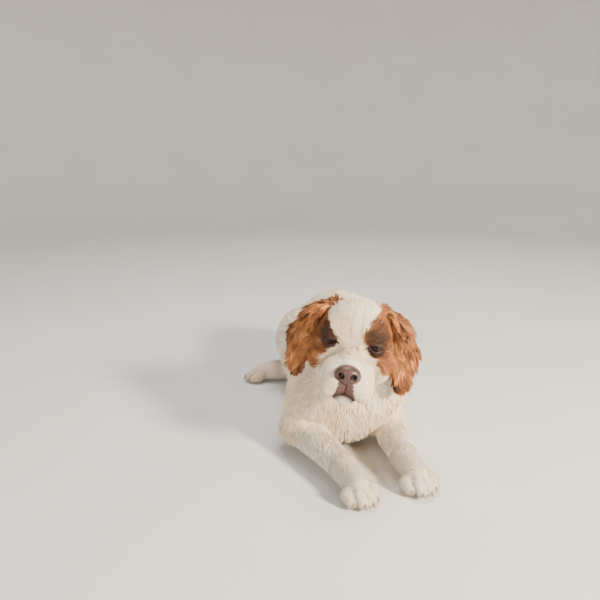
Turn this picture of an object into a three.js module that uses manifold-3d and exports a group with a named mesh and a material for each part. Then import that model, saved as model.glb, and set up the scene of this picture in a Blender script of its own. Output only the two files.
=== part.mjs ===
// A Saint Bernard puppy of about nine weeks, life size, lying on its belly with its head up.
// Millimetres, +Z up. The puppy faces -Y and +X is its left side. The floor is Z = 0.
// The origin is on the floor, under the middle of the breastbone.
import * as THREE from 'three';
import { mergeVertices } from 'three/addons/utils/BufferGeometryUtils.js';
import Module from 'manifold-3d';

const wasm = await Module();
wasm.setup();

// Driving dimensions, out to the tips of the short coat and to the core of the long coat
const SEAM = 0.3; // gap that two touching nodes keep
const CHEST_HALF = 80; // half the width of the rib cage
const BACK_HEIGHT = 186; // top of the back and rump above the floor
const SKULL_HALF = 55; // half the width of the skull
const EYE_HALF = 31; // half the distance between the pupils
const EYE_RADIUS = 9.5;
const LID = 2.4; // how far the lids stand out from the eyeball
const MUZZLE_HALF = 38; // half the width over the upper lips
const NOSE_WIDTH = 34;
const NOSE_HEIGHT = 24;
const EAR_THICKNESS = 12; // leather and the hair next to it
const EAR_SPLAY = 0.8; // how far the ear's back edge stands out from the head, in radians
const EAR_CUP = 0.42; // how far each half of the ear turns in, in radians
const EAR_FRONT = 1.2; // the ear ahead of its fold, as a share of the half width there
const EAR_BACK = 1.4; // the ear behind its fold, as such a share
const FORELEG_RADIUS = 22; // at the wrist
const FOREPAW_WIDTH = 58;
const HIND_PAW_WIDTH = 50;
const TAIL_RADIUS = 20; // at the root
const CLAW_LENGTH = 5;
const CLAW_RADIUS = 2.2;

// Locks of the long coat: size, and how far the tip lifts off the core
const EAR_LOCK = { length: 42, width: 16, thickness: 4, lift: 5 };
const RUFF_LOCK = { length: 42, width: 24, thickness: 6, lift: 7 };
const FEATHER_LOCK = { length: 32, width: 15, thickness: 5, lift: 6 };
const TAIL_LOCK = { length: 40, width: 17, thickness: 5, lift: 8 };

// Where the head is held, and how it is turned
const SKULL_CENTRE = new THREE.Vector3(15, -84, 192);
const HEAD_YAW = THREE.MathUtils.degToRad(-8);
const HEAD_ROLL = THREE.MathUtils.degToRad(8.4);
const HEAD_PITCH = THREE.MathUtils.degToRad(2);

// Where the joints of each leg lie, and the way its paws point, in degrees from straight ahead
const LEGS = {
  right: {
    side: -1,
    shoulder: [-46, -6, 102],
    elbow: [-66, -52, 38],
    wrist: [-5, -162, 27],
    toes: [17, -212, 21],
    aim: 24,
    hip: [-42, 256, 100],
    knee: [-54, 186, 58],
    hock: [-64, 232, 26],
    foot: [-116, 229, 22],
    hindToes: [-152, 226, 20],
    hindAim: -90,
  },
  left: {
    side: 1,
    shoulder: [56, 0, 100],
    elbow: [72, -30, 38],
    wrist: [88, -132, 25],
    toes: [102, -184, 21],
    aim: 16,
    hip: [52, 258, 98],
    knee: [84, 172, 60],
    hock: [84, 268, 24],
    foot: [94, 218, 22],
    hindToes: [98, 184, 20],
    hindAim: 6,
  },
};
// The ear's fold from root to tip: out from the skull's middle, ahead of it and above it,
// with the half width of the ear there
const EAR_ROWS = [
  { out: 36, ahead: 0, up: 53, half: 9 },
  { out: 49, ahead: 2, up: 47, half: 11 },
  { out: 63, ahead: 5, up: 37, half: 13 },
  { out: 75, ahead: 8, up: 14, half: 17 },
  { out: 84, ahead: 9, up: -8, half: 24 },
  { out: 85, ahead: 12, up: -27, half: 23 },
  { out: 81, ahead: 17, up: -42, half: 15 },
  { out: 77, ahead: 21, up: -55, half: 8 },
];
const TAIL = [[24, 318, 122], [24, 356, 100], [4, 384, 90], [-30, 388, 94], [-60, 370, 104]];

// Finishes of the nodes, by the first word of their names
const CREAM = { color: 0xeadfce, roughness: 0.92 };
const FINISHES = {
  ear: { color: 0xb5682f, roughness: 0.88 },
  nose: { color: 0x6a4a40, roughness: 0.38 },
  eye: { color: 0x3a2014, roughness: 0.08 },
};

const vec = (x, y, z) => new THREE.Vector3(x, y, z);
const { clamp, degToRad, lerp, seededRandom } = THREE.MathUtils;
const between = (a, b, t) => vec(...a).lerp(vec(...b), t);

function turned(yaw, roll = 0, pitch = 0) {
  const euler = new THREE.Euler(degToRad(pitch), degToRad(roll), degToRad(yaw), 'ZYX');
  return new THREE.Matrix4().makeRotationFromEuler(euler);
}

// Fields: each gives how far a point is outside a form, and less than 0 inside it.
function egg(centre, [rx, ry, rz], turn = new THREE.Matrix4()) {
  const back = turn.clone().invert();
  const q = vec(0, 0, 0);
  return (p) => {
    q.set(p.x - centre[0], p.y - centre[1], p.z - centre[2]).applyMatrix4(back);
    const k = Math.hypot(q.x / rx, q.y / ry, q.z / rz);
    const slope = Math.hypot(q.x / rx ** 2, q.y / ry ** 2, q.z / rz ** 2);
    return slope > 1e-9 ? (k * (k - 1)) / slope : -Math.min(rx, ry, rz);
  };
}

// A straight limb that narrows from one end to the other.
function limb(from, to, startRadius, endRadius) {
  const start = vec(...from);
  const along = vec(...to).sub(start);
  const lengthSq = along.lengthSq();
  const q = vec(0, 0, 0);
  return (p) => {
    const t = clamp(q.copy(p).sub(start).dot(along) / lengthSq, 0, 1);
    q.copy(start).addScaledVector(along, t);
    return q.distanceTo(p) - lerp(startRadius, endRadius, t);
  };
}

function softMin(a, b, k) {
  const h = Math.max(k - Math.abs(a - b), 0);
  return Math.min(a, b) - (h * h) / (4 * k);
}

const blend = (k, ...fields) => (p) => fields.reduce((d, field) => softMin(d, field(p), k), 1e3);
const carve = (k, field, cut) => (p) => -softMin(-field(p), cut(p), k);
const both = (x, make) => [make(-x), make(x)];

// How fast a field rises along each axis. On its surface this points outward.
function slopeAt(field, p, here = field(p)) {
  const step = 0.5;
  return vec(...['x', 'y', 'z'].map((axis) => {
    const q = p.clone();
    q[axis] += step;
    return (field(q) - here) / step;
  }));
}

// Walks a point to where the field is 0.
function settle(field, p, rounds) {
  for (let i = 0; i < rounds; i += 1) {
    const here = field(p);
    const slope = slopeAt(field, p, here);
    p.addScaledVector(slope, -here / Math.max(slope.lengthSq(), 0.1));
  }
  return p;
}

// Grid lines from stretches of [start, end, step].
function ticks(...stretches) {
  const lines = [stretches[0][0]];
  for (const [start, end, step] of stretches) {
    const count = Math.max(1, Math.round((end - start) / step));
    for (let i = 1; i <= count; i += 1) lines.push(lerp(start, end, i / count));
  }
  return lines;
}

// A grid round a run of points, as far out as the reach.
function gridRound(points, reach, step) {
  return [0, 1, 2].map((n) => {
    const places = points.map((point) => point[n]);
    return ticks([Math.min(...places) - reach, Math.max(...places) + reach, step]);
  });
}

// A cell of the grid: its corners, its edges and the edges round each of its faces.
const CORNERS = [0, 1, 2, 3, 4, 5, 6, 7].map((n) => [n & 1, (n >> 1) & 1, n >> 2]);
const EDGES = [0, 1, 2].flatMap((axis) => [0, 1, 2, 3].map((n) => {
  const [low, high] = [0, 1, 2].filter((other) => other !== axis);
  const start = CORNERS.findIndex((c) => c[axis] === 0 && c[low] === (n & 1) && c[high] === n >> 1);
  return [start, start + 2 ** axis];
}));
const FACES = [0, 1, 2].flatMap((axis) => [0, 1].map((side) => EDGES
  .map((_, n) => n)
  .filter((n) => EDGES[n].every((corner) => CORNERS[corner][axis] === side))));

// Sorts the edges of a cell that a surface crosses into the sheets that they belong to.
function sheetsOf(inside) {
  const crossed = EDGES.map(([a, b]) => inside[a] !== inside[b]);
  const sheet = EDGES.map((_, n) => (crossed[n] ? n : -1));
  const unite = (a, b) => sheet.forEach((mark, n) => {
    if (mark === sheet[b] && n !== b) sheet[n] = sheet[a];
  }) || (sheet[b] = sheet[a]);
  for (const face of FACES) {
    const cut = face.filter((n) => crossed[n]);
    if (cut.length === 2) unite(cut[0], cut[1]);
    if (cut.length === 4) {
      for (const corner of new Set(cut.flatMap((n) => EDGES[n]))) {
        const [a, b] = cut.filter((n) => EDGES[n].includes(corner));
        if (inside[corner]) unite(a, b);
      }
    }
  }
  return sheet;
}

// The closed surface where a field is 0: a point on each sheet of it in each cell that it
// crosses, and a quad round each grid edge that it crosses.
function skinOf(field, [xs, ys, zs]) {
  const [nx, ny, nz] = [xs.length, ys.length, zs.length];
  const at = (i, j, k) => (i * ny + j) * nz + k;
  const value = new Float64Array(nx * ny * nz);
  for (let n = 0; n < value.length; n += 1) {
    const [i, j, k] = [Math.floor(n / (ny * nz)), Math.floor(n / nz) % ny, n % nz];
    const rim = i === 0 || j === 0 || k === 0 || i === nx - 1 || j === ny - 1 || k === nz - 1;
    const distance = field(vec(xs[i], ys[j], zs[k]));
    value[n] = rim ? Math.max(distance, 1e-3) : distance;
  }
  const pointOf = new Int32Array(nx * ny * nz * EDGES.length).fill(-1);
  const positions = [];
  for (let i = 0; i < nx - 1; i += 1) {
    for (let j = 0; j < ny - 1; j += 1) {
      for (let k = 0; k < nz - 1; k += 1) {
        const depth = CORNERS.map(([a, b, c]) => value[at(i + a, j + b, k + c)]);
        const place = CORNERS.map(([a, b, c]) => vec(xs[i + a], ys[j + b], zs[k + c]));
        const sheet = sheetsOf(depth.map((d) => d < 0));
        const inner = Math.min(i, j, k) > 0 && i < nx - 2 && j < ny - 2 && k < nz - 2;
        for (const mark of new Set(sheet.filter((n) => n >= 0))) {
          const edges = EDGES.map((_, n) => n).filter((n) => sheet[n] === mark);
          const middle = vec(0, 0, 0);
          for (const [a, b] of edges.map((n) => EDGES[n])) {
            const t = clamp(depth[a] / (depth[a] - depth[b]), 0.05, 0.95);
            middle.addScaledVector(place[a].clone().lerp(place[b], t), 1 / edges.length);
          }
          const margin = place[7].clone().sub(place[0]).multiplyScalar(0.04);
          const [low, high] = [place[0].clone().add(margin), place[7].clone().sub(margin)];
          if (inner && edges.length < 7) settle(field, middle, 2).clamp(low, high);
          for (const n of edges) pointOf[at(i, j, k) * EDGES.length + n] = positions.length / 3;
          positions.push(middle.x, middle.y, middle.z);
        }
      }
    }
  }
  const index = [];
  const ring = [[0, 0], [1, 0], [1, 1], [0, 1]];
  for (let n = 0; n < value.length; n += 1) {
    const here = [Math.floor(n / (ny * nz)), Math.floor(n / nz) % ny, n % nz];
    for (const axis of [0, 1, 2]) {
      const [low, high] = [0, 1, 2].filter((other) => other !== axis);
      const next = here.slice();
      next[axis] += 1;
      const open = next[axis] < [nx, ny, nz][axis] && here[low] > 0 && here[high] > 0;
      if (open && value[n] < 0 !== value[at(...next)] < 0) {
        const quad = ring.map(([a, b]) => {
          const cell = here.slice();
          cell[low] -= a;
          cell[high] -= b;
          return pointOf[at(...cell) * EDGES.length + axis * 4 + a + 2 * b];
        });
        const outward = value[n] < 0 === (axis !== 1);
        const [a, b, c, d] = outward ? quad : quad.reverse();
        index.push(a, b, c, a, c, d);
      }
    }
  }
  const geometry = new THREE.BufferGeometry();
  geometry.setAttribute('position', new THREE.Float32BufferAttribute(positions, 3));
  geometry.setIndex(index);
  return geometry;
}

// Solids: closed meshes that can be joined and cut.
function solidOf(geometry, matrix = new THREE.Matrix4()) {
  const bare = geometry.clone();
  bare.deleteAttribute('normal');
  bare.deleteAttribute('uv');
  const merged = mergeVertices(bare.applyMatrix4(matrix), 1e-3);
  return new wasm.Manifold(new wasm.Mesh({
    numProp: 3,
    vertProperties: merged.attributes.position.array,
    triVerts: new Uint32Array(merged.index.array),
  }));
}

function geometryOf(solid) {
  const mesh = solid.getMesh();
  const geometry = new THREE.BufferGeometry();
  const positions = new Float32Array(mesh.vertProperties);
  geometry.setAttribute('position', new THREE.BufferAttribute(positions, 3));
  geometry.setIndex(new THREE.BufferAttribute(new Uint32Array(mesh.triVerts), 1));
  geometry.computeVertexNormals();
  return geometry;
}

const largest = (solid) => solid.decompose().sort((a, b) => b.volume() - a.volume())[0];
const joined = (...solids) => wasm.Manifold.union(solids);

// The same solid, grown by a seam along the normals of its corners.
function grown(solid) {
  const geometry = geometryOf(solid);
  const { position, normal } = geometry.attributes;
  for (let n = 0; n < position.count; n += 1) {
    const point = vec(0, 0, 0).fromBufferAttribute(position, n);
    point.addScaledVector(vec(0, 0, 0).fromBufferAttribute(normal, n), SEAM);
    position.setXYZ(n, point.x, point.y, point.z);
  }
  return solidOf(geometry);
}

// Cutters: plain solids that part the body. Each can be made larger by an extra that
// keeps the gap of a seam clear round it.
function beyond(point, normal, extra = 0) {
  const size = 1400;
  const outward = vec(...normal).normalize();
  const turn = new THREE.Quaternion().setFromUnitVectors(vec(0, 0, 1), outward);
  const centre = vec(...point).addScaledVector(outward, size / 2 - extra);
  const place = new THREE.Matrix4().compose(centre, turn, vec(1, 1, 1));
  return solidOf(new THREE.BoxGeometry(size, size, size), place);
}

function rod(from, to, startRadius, endRadius, extra = 0) {
  const [a, b] = [vec(...from), vec(...to)];
  const length = a.distanceTo(b) + 2 * extra;
  const turn = new THREE.Quaternion().setFromUnitVectors(vec(0, 1, 0), b.clone().sub(a).normalize());
  const shape = new THREE.CylinderGeometry(endRadius + extra, startRadius + extra, length, 10);
  return solidOf(shape, new THREE.Matrix4().compose(a.add(b).multiplyScalar(0.5), turn, vec(1, 1, 1)));
}

// The head, in its own frame: the skull's centre is the origin and the nose points to -Y.
const headPlace = new THREE.Matrix4().compose(
  SKULL_CENTRE,
  new THREE.Quaternion().setFromEuler(new THREE.Euler(HEAD_PITCH, HEAD_ROLL, HEAD_YAW, 'ZYX')),
  vec(1, 1, 1),
);
const headInverse = headPlace.clone().invert();
const placed = (field, inverse) => {
  const q = vec(0, 0, 0);
  return (p) => field(q.copy(p).applyMatrix4(inverse));
};
const inWorld = (field) => placed(field, headInverse);
const inHead = (field) => placed(field, headPlace);

const eyeCentre = (side) => [side * EYE_HALF, -46, 10];

function skullField() {
  const crown = blend(22, egg([0, 8, 8], [SKULL_HALF, 58, 54]), egg([0, -14, 16], [46, 42, 41]));
  const brows = both(24, (x) => egg([x, -37, 21], [21, 15, 12]));
  const cheeks = both(34, (x) => egg([x, -12, -22], [30, 38, 34]));
  return blend(14, crown, ...brows, ...cheeks);
}

function muzzleField() {
  const bridge = limb([0, -40, -6], [0, -96, -12], 22, 15);
  const sides = both(MUZZLE_HALF - 23, (x) => egg([x, -74, -23], [22, 36, 22]));
  const lips = both(MUZZLE_HALF - 18, (x) => egg([x, -80, -37], [18, 30, 22.5], turned(Math.sign(x) * 8)));
  const front = both(9, (x) => egg([x, -97, -30], [14, 15, 15]));
  return blend(9, bridge, ...sides, ...lips, ...front);
}

function upperHeadField() {
  const mouth = egg([0, -62, -72], [28, 60, 26]);
  const sockets = both(EYE_HALF + 1, (x) => egg([x, -64, 9], [15, 13, 11]));
  const whole = blend(12, skullField(), muzzleField());
  return [...sockets, mouth].reduce((field, hollow) => carve(7, field, hollow), whole);
}

const jawField = blend(
  12,
  limb([0, -20, -44], [0, -80, -48], 28, 17),
  egg([0, -90, -48], [20, 15, 12]),
);
const noseField = () => {
  const leather = blend(
    5,
    egg([0, -106, -11], [NOSE_WIDTH / 2, 10, NOSE_HEIGHT * 0.44]),
    egg([0, -107, -18], [NOSE_WIDTH * 0.28, 7, NOSE_HEIGHT * 0.38]),
  );
  const nostrils = both(8, (x) => egg([x, -117, -14], [3.6, 8, 3.2], turned(0, Math.sign(x) * -30)));
  const wings = both(14, (x) => egg([x, -112, -17], [5, 6, 1.8], turned(0, Math.sign(x) * -24)));
  return [...nostrils, ...wings].reduce((field, hollow) => carve(2, field, hollow), leather);
};

// The ear's fold as a smooth curve through its rows, with the half width beside it.
const earFold = new THREE.CatmullRomCurve3(EAR_ROWS.map(({ out, ahead, up }) => vec(out, ahead, up)));
const earRun = earFold.getPoints(28).map((place, n, { length }) => {
  const row = (n / (length - 1)) * (EAR_ROWS.length - 1);
  const last = Math.min(Math.floor(row), EAR_ROWS.length - 2);
  return { place, half: lerp(EAR_ROWS[last].half, EAR_ROWS[last + 1].half, row - last) };
});

// An ear hangs from the side of the skull. At each height it is a folded strip: one half of
// it turns in towards the cheek and the other, wider half turns back.
function earField(side) {
  return (p) => {
    const up = clamp(p.z, earRun.at(-1).place.z, earRun[0].place.z);
    const below = clamp(earRun.findIndex(({ place }) => place.z <= up), 1, earRun.length - 1);
    const [a, b] = [earRun[below - 1], earRun[below]];
    const t = (a.place.z - up) / (a.place.z - b.place.z);
    const half = lerp(a.half, b.half, t);
    const out = side * p.x - lerp(a.place.x, b.place.x, t);
    const ahead = -p.y - lerp(a.place.y, b.place.y, t);
    const [front, rear] = [-1, 1].map((edge) => {
      const angle = EAR_SPLAY + edge * EAR_CUP;
      const [x, y] = [edge * Math.cos(angle), -edge * Math.sin(angle)];
      const width = half * (edge > 0 ? EAR_BACK : EAR_FRONT) - EAR_THICKNESS / 2;
      const wide = clamp(out * x + ahead * y, 0, width);
      return Math.hypot(out - wide * x, ahead - wide * y, p.z - up) - EAR_THICKNESS / 2;
    });
    return softMin(front, rear, 6);
  };
}

// Trunk and limbs
const neckField = blend(
  26,
  limb([10, -52, 172], [6, 20, 128], 54, 68),
  egg([14, -62, 104], [84, 44, 52]),
);
const trunkField = blend(
  36,
  egg([5, 72, 94], [CHEST_HALF, 138, 92]),
  egg([-4, -50, 72], [CHEST_HALF + 4, 50, 58]),
  egg([4, 30, 40], [62, 96, 44]),
  egg([10, 168, 96], [CHEST_HALF, 90, BACK_HEIGHT - 102]),
  egg([10, 256, 104], [CHEST_HALF + 2, 90, BACK_HEIGHT - 104]),
);

const thighField = ({ side, hip, knee, hock }) => blend(
  24,
  egg([hip[0] + side * 16, 232, 90], [58, 76, 58]),
  limb(hip, knee, 52, 40),
  limb(knee, hock, 38, 24),
);

// The four toes of a paw, fanned out the way that the paw points.
function digitsOf(toes, aim, width) {
  const ahead = vec(Math.sin(degToRad(aim)), -Math.cos(degToRad(aim)), 0);
  const across = vec(-ahead.y, ahead.x, 0);
  const radius = width * 0.2;
  const place = (side, reach, z) => vec(toes[0], toes[1], 0)
    .addScaledVector(across, side).addScaledVector(ahead, reach).setZ(z);
  return [-1, -0.35, 0.35, 1].map((spread) => {
    const x = spread * (width / 2 - radius);
    const reach = 8 - 12 * spread ** 2;
    const height = radius * (1.08 - 0.06 * Math.abs(spread));
    return {
      ahead,
      radius,
      root: place(x * 0.72, -10, height * 1.5),
      knuckle: place(x, reach, height * 1.25),
      end: place(x * 1.04, reach + 10, height * 0.92),
    };
  });
}

// A paw: a pad that carries the toes.
function pawField(wrist, toes, aim, width, footRadius) {
  const digits = digitsOf(toes, aim, width).map(({ radius, root, knuckle, end }) => blend(
    6,
    limb(root.toArray(), knuckle.toArray(), radius * 0.95, radius),
    limb(knuckle.toArray(), end.toArray(), radius, radius * 0.88),
  ));
  const pad = vec(...toes).addScaledVector(digitsOf(toes, aim, width)[0].ahead, -8);
  return blend(5, limb(wrist, pad.toArray(), footRadius, width * 0.36), ...digits);
}

const forelegField = (leg) => blend(
  6,
  blend(
    12,
    limb(leg.shoulder, leg.elbow, 38, 31),
    limb(leg.elbow, leg.wrist, 30, FORELEG_RADIUS - 1),
  ),
  pawField(leg.wrist, leg.toes, leg.aim, FOREPAW_WIDTH, FORELEG_RADIUS),
);
const hindFootField = (leg) => blend(
  6,
  limb(leg.hock, leg.foot, 24, 21),
  pawField(leg.foot, leg.hindToes, leg.hindAim, HIND_PAW_WIDTH, 20),
);
const tailField = blend(10, ...TAIL.slice(1).map((point, i) => {
  const radius = (n) => TAIL_RADIUS * (1 - (0.25 * n) / (TAIL.length - 1));
  return limb(TAIL[i], point, radius(i), radius(i + 1));
}));

const trunk = blend(26, trunkField, neckField, inWorld(skullField()));
const sides = Object.entries(LEGS);
const body = blend(
  14,
  blend(12, trunk, inWorld(upperHeadField())),
  ...sides.map(([, leg]) => forelegField(leg)),
  ...sides.map(([, leg]) => blend(12, thighField(leg), hindFootField(leg))),
  tailField,
);

// Rings of a lock from root to tip: share of its length, of its lift and of its width. The
// root is sunk into the core.
const LOCK_RINGS = [
  { share: 0, high: -1.1, wide: 0.6 },
  { share: 0.34, high: 0.5, wide: 1 },
  { share: 0.72, high: 0.9, wide: 0.7 },
];

// A closed form along a run of rings of four corners, flat across and ending in a point.
function tapered(rings, tip) {
  const positions = [];
  for (const { place, along, outward, half, thick } of rings) {
    const across = along.clone().cross(outward);
    for (const [a, b] of [[-1, 0], [0, -1], [1, 0], [0, 1]]) {
      const corner = place.clone().addScaledVector(across, a * half).addScaledVector(outward, b * thick);
      positions.push(...corner.toArray());
    }
  }
  positions.push(...tip.toArray());
  const index = [0, 1, 2, 0, 2, 3];
  rings.forEach((_, i) => {
    for (const k of [0, 1, 2, 3]) {
      const [a, b] = [4 * i + k, 4 * i + ((k + 1) % 4)];
      if (i < rings.length - 1) index.push(a, a + 4, b + 4, a, b + 4, b);
      else index.push(a, 4 * rings.length, b);
    }
  });
  const geometry = new THREE.BufferGeometry();
  geometry.setAttribute('position', new THREE.Float32BufferAttribute(positions, 3));
  geometry.setIndex(index);
  return solidOf(geometry);
}

// A lock of hair: it leaves a surface at its root, then bends along it the way the coat lies.
function lock(field, root, lie, { length, width, thickness, lift }) {
  const place = settle(field, root.clone(), 3);
  const rings = LOCK_RINGS.map(({ share, high, wide }, n) => {
    const outward = slopeAt(field, place).normalize();
    const along = lie.clone().addScaledVector(outward, -lie.dot(outward)).normalize();
    const ring = {
      place: place.clone().addScaledVector(outward, high * lift),
      along,
      outward,
      half: (wide * width) / 2,
      thick: (Math.sqrt(wide) * thickness) / 2,
    };
    const next = n < LOCK_RINGS.length - 1 ? LOCK_RINGS[n + 1].share : 1;
    settle(field, place.addScaledVector(along, (next - share) * length), 2);
    return ring;
  });
  const tip = place.addScaledVector(rings.at(-1).outward, lift * 0.9);
  return tapered(rings, tip);
}

seededRandom(11);
const scatter = (spread) => (seededRandom() * 2 - 1) * spread;

// Locks at a run of roots, each a little longer or shorter, wider or narrower than the last.
function locksAt(field, roots, size, lieAt) {
  return roots.map((root) => {
    const own = {
      ...size,
      length: size.length * (1 + scatter(0.2)),
      width: size.width * (1 + scatter(0.15)),
      lift: size.lift * (1 + scatter(0.15)),
    };
    const lie = vec(...lieAt(root)).normalize().add(vec(scatter(0.2), scatter(0.2), scatter(0.2)));
    return lock(field, root, lie, own);
  });
}

// Roots round an axis, in tiers along it, each tier half a step round from the last. Angles
// are in degrees from a given way, and the reach is how far out the roots start.
function rootsRound(from, to, tiers, facing, [start, end, count], reach) {
  const axis = vec(...to).sub(vec(...from)).normalize();
  const zero = vec(...facing).addScaledVector(axis, -vec(...facing).dot(axis)).normalize();
  return Array.from({ length: tiers * count }, (_, n) => {
    const [tier, place] = [Math.floor(n / count), n % count];
    const share = (place + 0.25 + 0.5 * (tier % 2)) / count;
    const turn = degToRad(lerp(start, end, share) + scatter(3));
    const middle = between(from, to, tiers > 1 ? tier / (tiers - 1) : 0.5);
    return middle.addScaledVector(zero.clone().applyAxisAngle(axis, turn), reach);
  });
}

function claws(toes, aim, width) {
  return digitsOf(toes, aim, width).map(({ ahead, radius, end }) => {
    const root = end.clone().addScaledVector(ahead, radius * 0.4);
    const ring = (reach, drop, share) => ({
      place: root.clone().addScaledVector(ahead, reach).add(vec(0, 0, -drop)),
      along: ahead,
      outward: vec(0, 0, 1),
      half: CLAW_RADIUS * share,
      thick: CLAW_RADIUS * 1.3 * share,
    });
    const past = radius * 0.5;
    const tip = root.clone().addScaledVector(ahead, past + CLAW_LENGTH).setZ(SEAM * 4);
    return tapered([ring(0, 0, 1), ring(past + CLAW_LENGTH * 0.5, CLAW_LENGTH * 0.2, 0.7)], tip);
  });
}

const nodes = {};
const gaps = [];

// A node takes what of its shape lies inside its cutter and outside the nodes before it.
function claim(name, shape, cutter) {
  nodes[name] = gaps.reduce((solid, gap) => solid.subtract(gap), shape.intersect(cutter(0)));
  gaps.push(cutter(SEAM));
}

// The legs are parted from the body by rods, and at the wrist by a plane.
for (const [name, leg] of sides) {
  const { side, shoulder, elbow, wrist, toes, aim, hip, knee, hock, foot, hindToes, hindAim } = leg;
  const along = vec(...wrist).sub(vec(...elbow)).toArray();
  const past = (from, to, reach) => {
    const ahead = vec(...to).sub(vec(...from)).setZ(0).setLength(reach);
    return ahead.add(vec(...to)).toArray();
  };
  const legRod = (extra) => rod(elbow, past(wrist, toes, 50), 40, 70, extra);
  const pawSkin = solidOf(skinOf(body, gridRound([wrist, toes], 40, 8.7)));
  const pawShape = joined(pawSkin, ...claws(toes, aim, FOREPAW_WIDTH));
  claim(`forepaw_${name}`, pawShape, (extra) => legRod(extra).intersect(beyond(wrist, along, extra)));

  // Feathering hangs along the outer, lower edge of the forearm.
  const outward = [side, 0.4, 0];
  const featherRoots = rootsRound(elbow, wrist, 3, outward, side > 0 ? [-60, 40, 2] : [-40, 60, 2], 34);
  const feathers = locksAt(body, featherRoots, FEATHER_LOCK, () => [side * 0.9, -0.5, -0.5]);
  const forearmShape = joined(solidOf(skinOf(body, gridRound([elbow, wrist], 42, 16))), ...feathers);
  claim(`forearm_${name}`, forearmShape, legRod);

  const outside = (x, extra) => beyond([side * x, 0, 0], [side, 0, 0], extra);
  const [armTop, armEnd] = [[shoulder[0], shoulder[1] + 10, 128], [elbow[0], elbow[1], -20]];
  const armRod = (extra) => rod(armTop, armEnd, 46, 46, extra);
  const armRun = [[shoulder[0], shoulder[1], 96], [elbow[0], elbow[1], 56]];
  const armRoots = rootsRound(...armRun, 2, [side, 0, 0], [-50, 50, 2], 48);
  const armLocks = locksAt(body, armRoots, RUFF_LOCK, () => [side * 0.2, 0.2, -1]);
  const armShape = joined(solidOf(skinOf(body, gridRound([shoulder, elbow], 62, 17))), ...armLocks);
  claim(`upper_arm_${name}`, armShape, (extra) => armRod(extra).intersect(outside(24, extra)));

  const footRod = (extra) => rod(hock, past(foot, hindToes, 50), 30, 62, extra);
  const footSkin = solidOf(skinOf(body, gridRound([hock, foot, hindToes], 34, 11)));
  const footShape = joined(footSkin, ...claws(hindToes, hindAim, HIND_PAW_WIDTH));
  claim(`hind_foot_${name}`, footShape, footRod);

  // Breeches fall down the back of the thigh.
  const [thighBack, thighFront] = [[hip[0] + side * 22, 300, 92], [hip[0] + side * 26, 150, 80]];
  const thighRod = (extra) => rod(thighBack, thighFront, 70, 66, extra);
  const breechRun = [[hip[0] + side * 8, 262, 124], [hip[0] + side * 8, 258, 66]];
  const breechRoots = rootsRound(...breechRun, 2, [0, 1, 0], [-70, 70, 3], 60);
  const breeches = locksAt(body, breechRoots, RUFF_LOCK, () => [side * 0.1, 0.35, -1]);
  const thighShape = joined(solidOf(skinOf(body, gridRound([hip, knee, hock], 84, 22))), ...breeches);
  claim(`thigh_${name}`, thighShape, (extra) => thighRod(extra).intersect(outside(44, extra)));
}

// The tail's plume parts from its curve towards the tip.
const tailRoot = [TAIL[0][0], TAIL[0][1] + 26, TAIL[0][2]];
const plume = TAIL.slice(2).flatMap((point, n) => {
  const from = TAIL[n + 1];
  const along = vec(...point).sub(vec(...from));
  const roots = rootsRound(from, point, 1, [0, 0, 1], [0, 360, 4], TAIL_RADIUS);
  return locksAt(tailField, roots, TAIL_LOCK, () => along.clone().normalize().add(vec(0, 0, -0.15)).toArray());
});
const tailShape = joined(solidOf(skinOf(body, gridRound(TAIL, 28, 14))), ...plume);
claim('tail', tailShape, (extra) => beyond(tailRoot, [0, 1, -0.4], extra));

// Head, with an eyeball in each socket and a lid above and below it
const headGrid = [
  ticks([-74, -42, 12], [-42, 42, 8.4], [42, 74, 12]),
  ticks([-122, -38, 8.4], [-38, 80, 17]),
  ticks([-86, -64, 11], [-64, 20, 8.4], [20, 70, 14]),
];
const aheadOfNeck = (extra) => beyond([8, -58, 182], [0, -0.8, 0.6], extra);
claim('head', solidOf(skinOf(inHead(body), headGrid), headPlace), aheadOfNeck);

const atEye = (side, turn = new THREE.Matrix4()) => headPlace.clone()
  .multiply(new THREE.Matrix4().makeTranslation(...eyeCentre(side))).multiply(turn);
const ball = (radius, place) => solidOf(new THREE.SphereGeometry(radius, 12, 8), place);
for (const [name, { side }] of sides) {
  const slit = new THREE.Matrix4().makeRotationFromEuler(new THREE.Euler(0.1, 0, side * 0.32))
    .scale(vec(1, 1, 0.42)).setPosition(side * 0.6, -EYE_RADIUS * 0.9, -0.4);
  const lids = ball(EYE_RADIUS + LID, atEye(side)).subtract(ball(EYE_RADIUS + 1.4, atEye(side, slit)));
  nodes.head = joined(nodes.head, lids).subtract(ball(EYE_RADIUS + SEAM, atEye(side)));
  nodes[`eye_${name}`] = ball(EYE_RADIUS, atEye(side));
}

const jawGrid = [ticks([-38, 38, 12]), ticks([-118, -10, 13]), ticks([-84, -14, 10])];
const jawShape = solidOf(skinOf(jawField, jawGrid), headPlace).intersect(aheadOfNeck(0));
const noseGrid = [ticks([-20, 20, 4]), ticks([-122, -92, 4]), ticks([-32, 4, 4])];
nodes.nose = solidOf(skinOf(noseField(), noseGrid), headPlace);
nodes.head = nodes.head.subtract(grown(nodes.nose));
nodes.jaw = jawShape.subtract(grown(nodes.head)).subtract(grown(nodes.nose));

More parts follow.
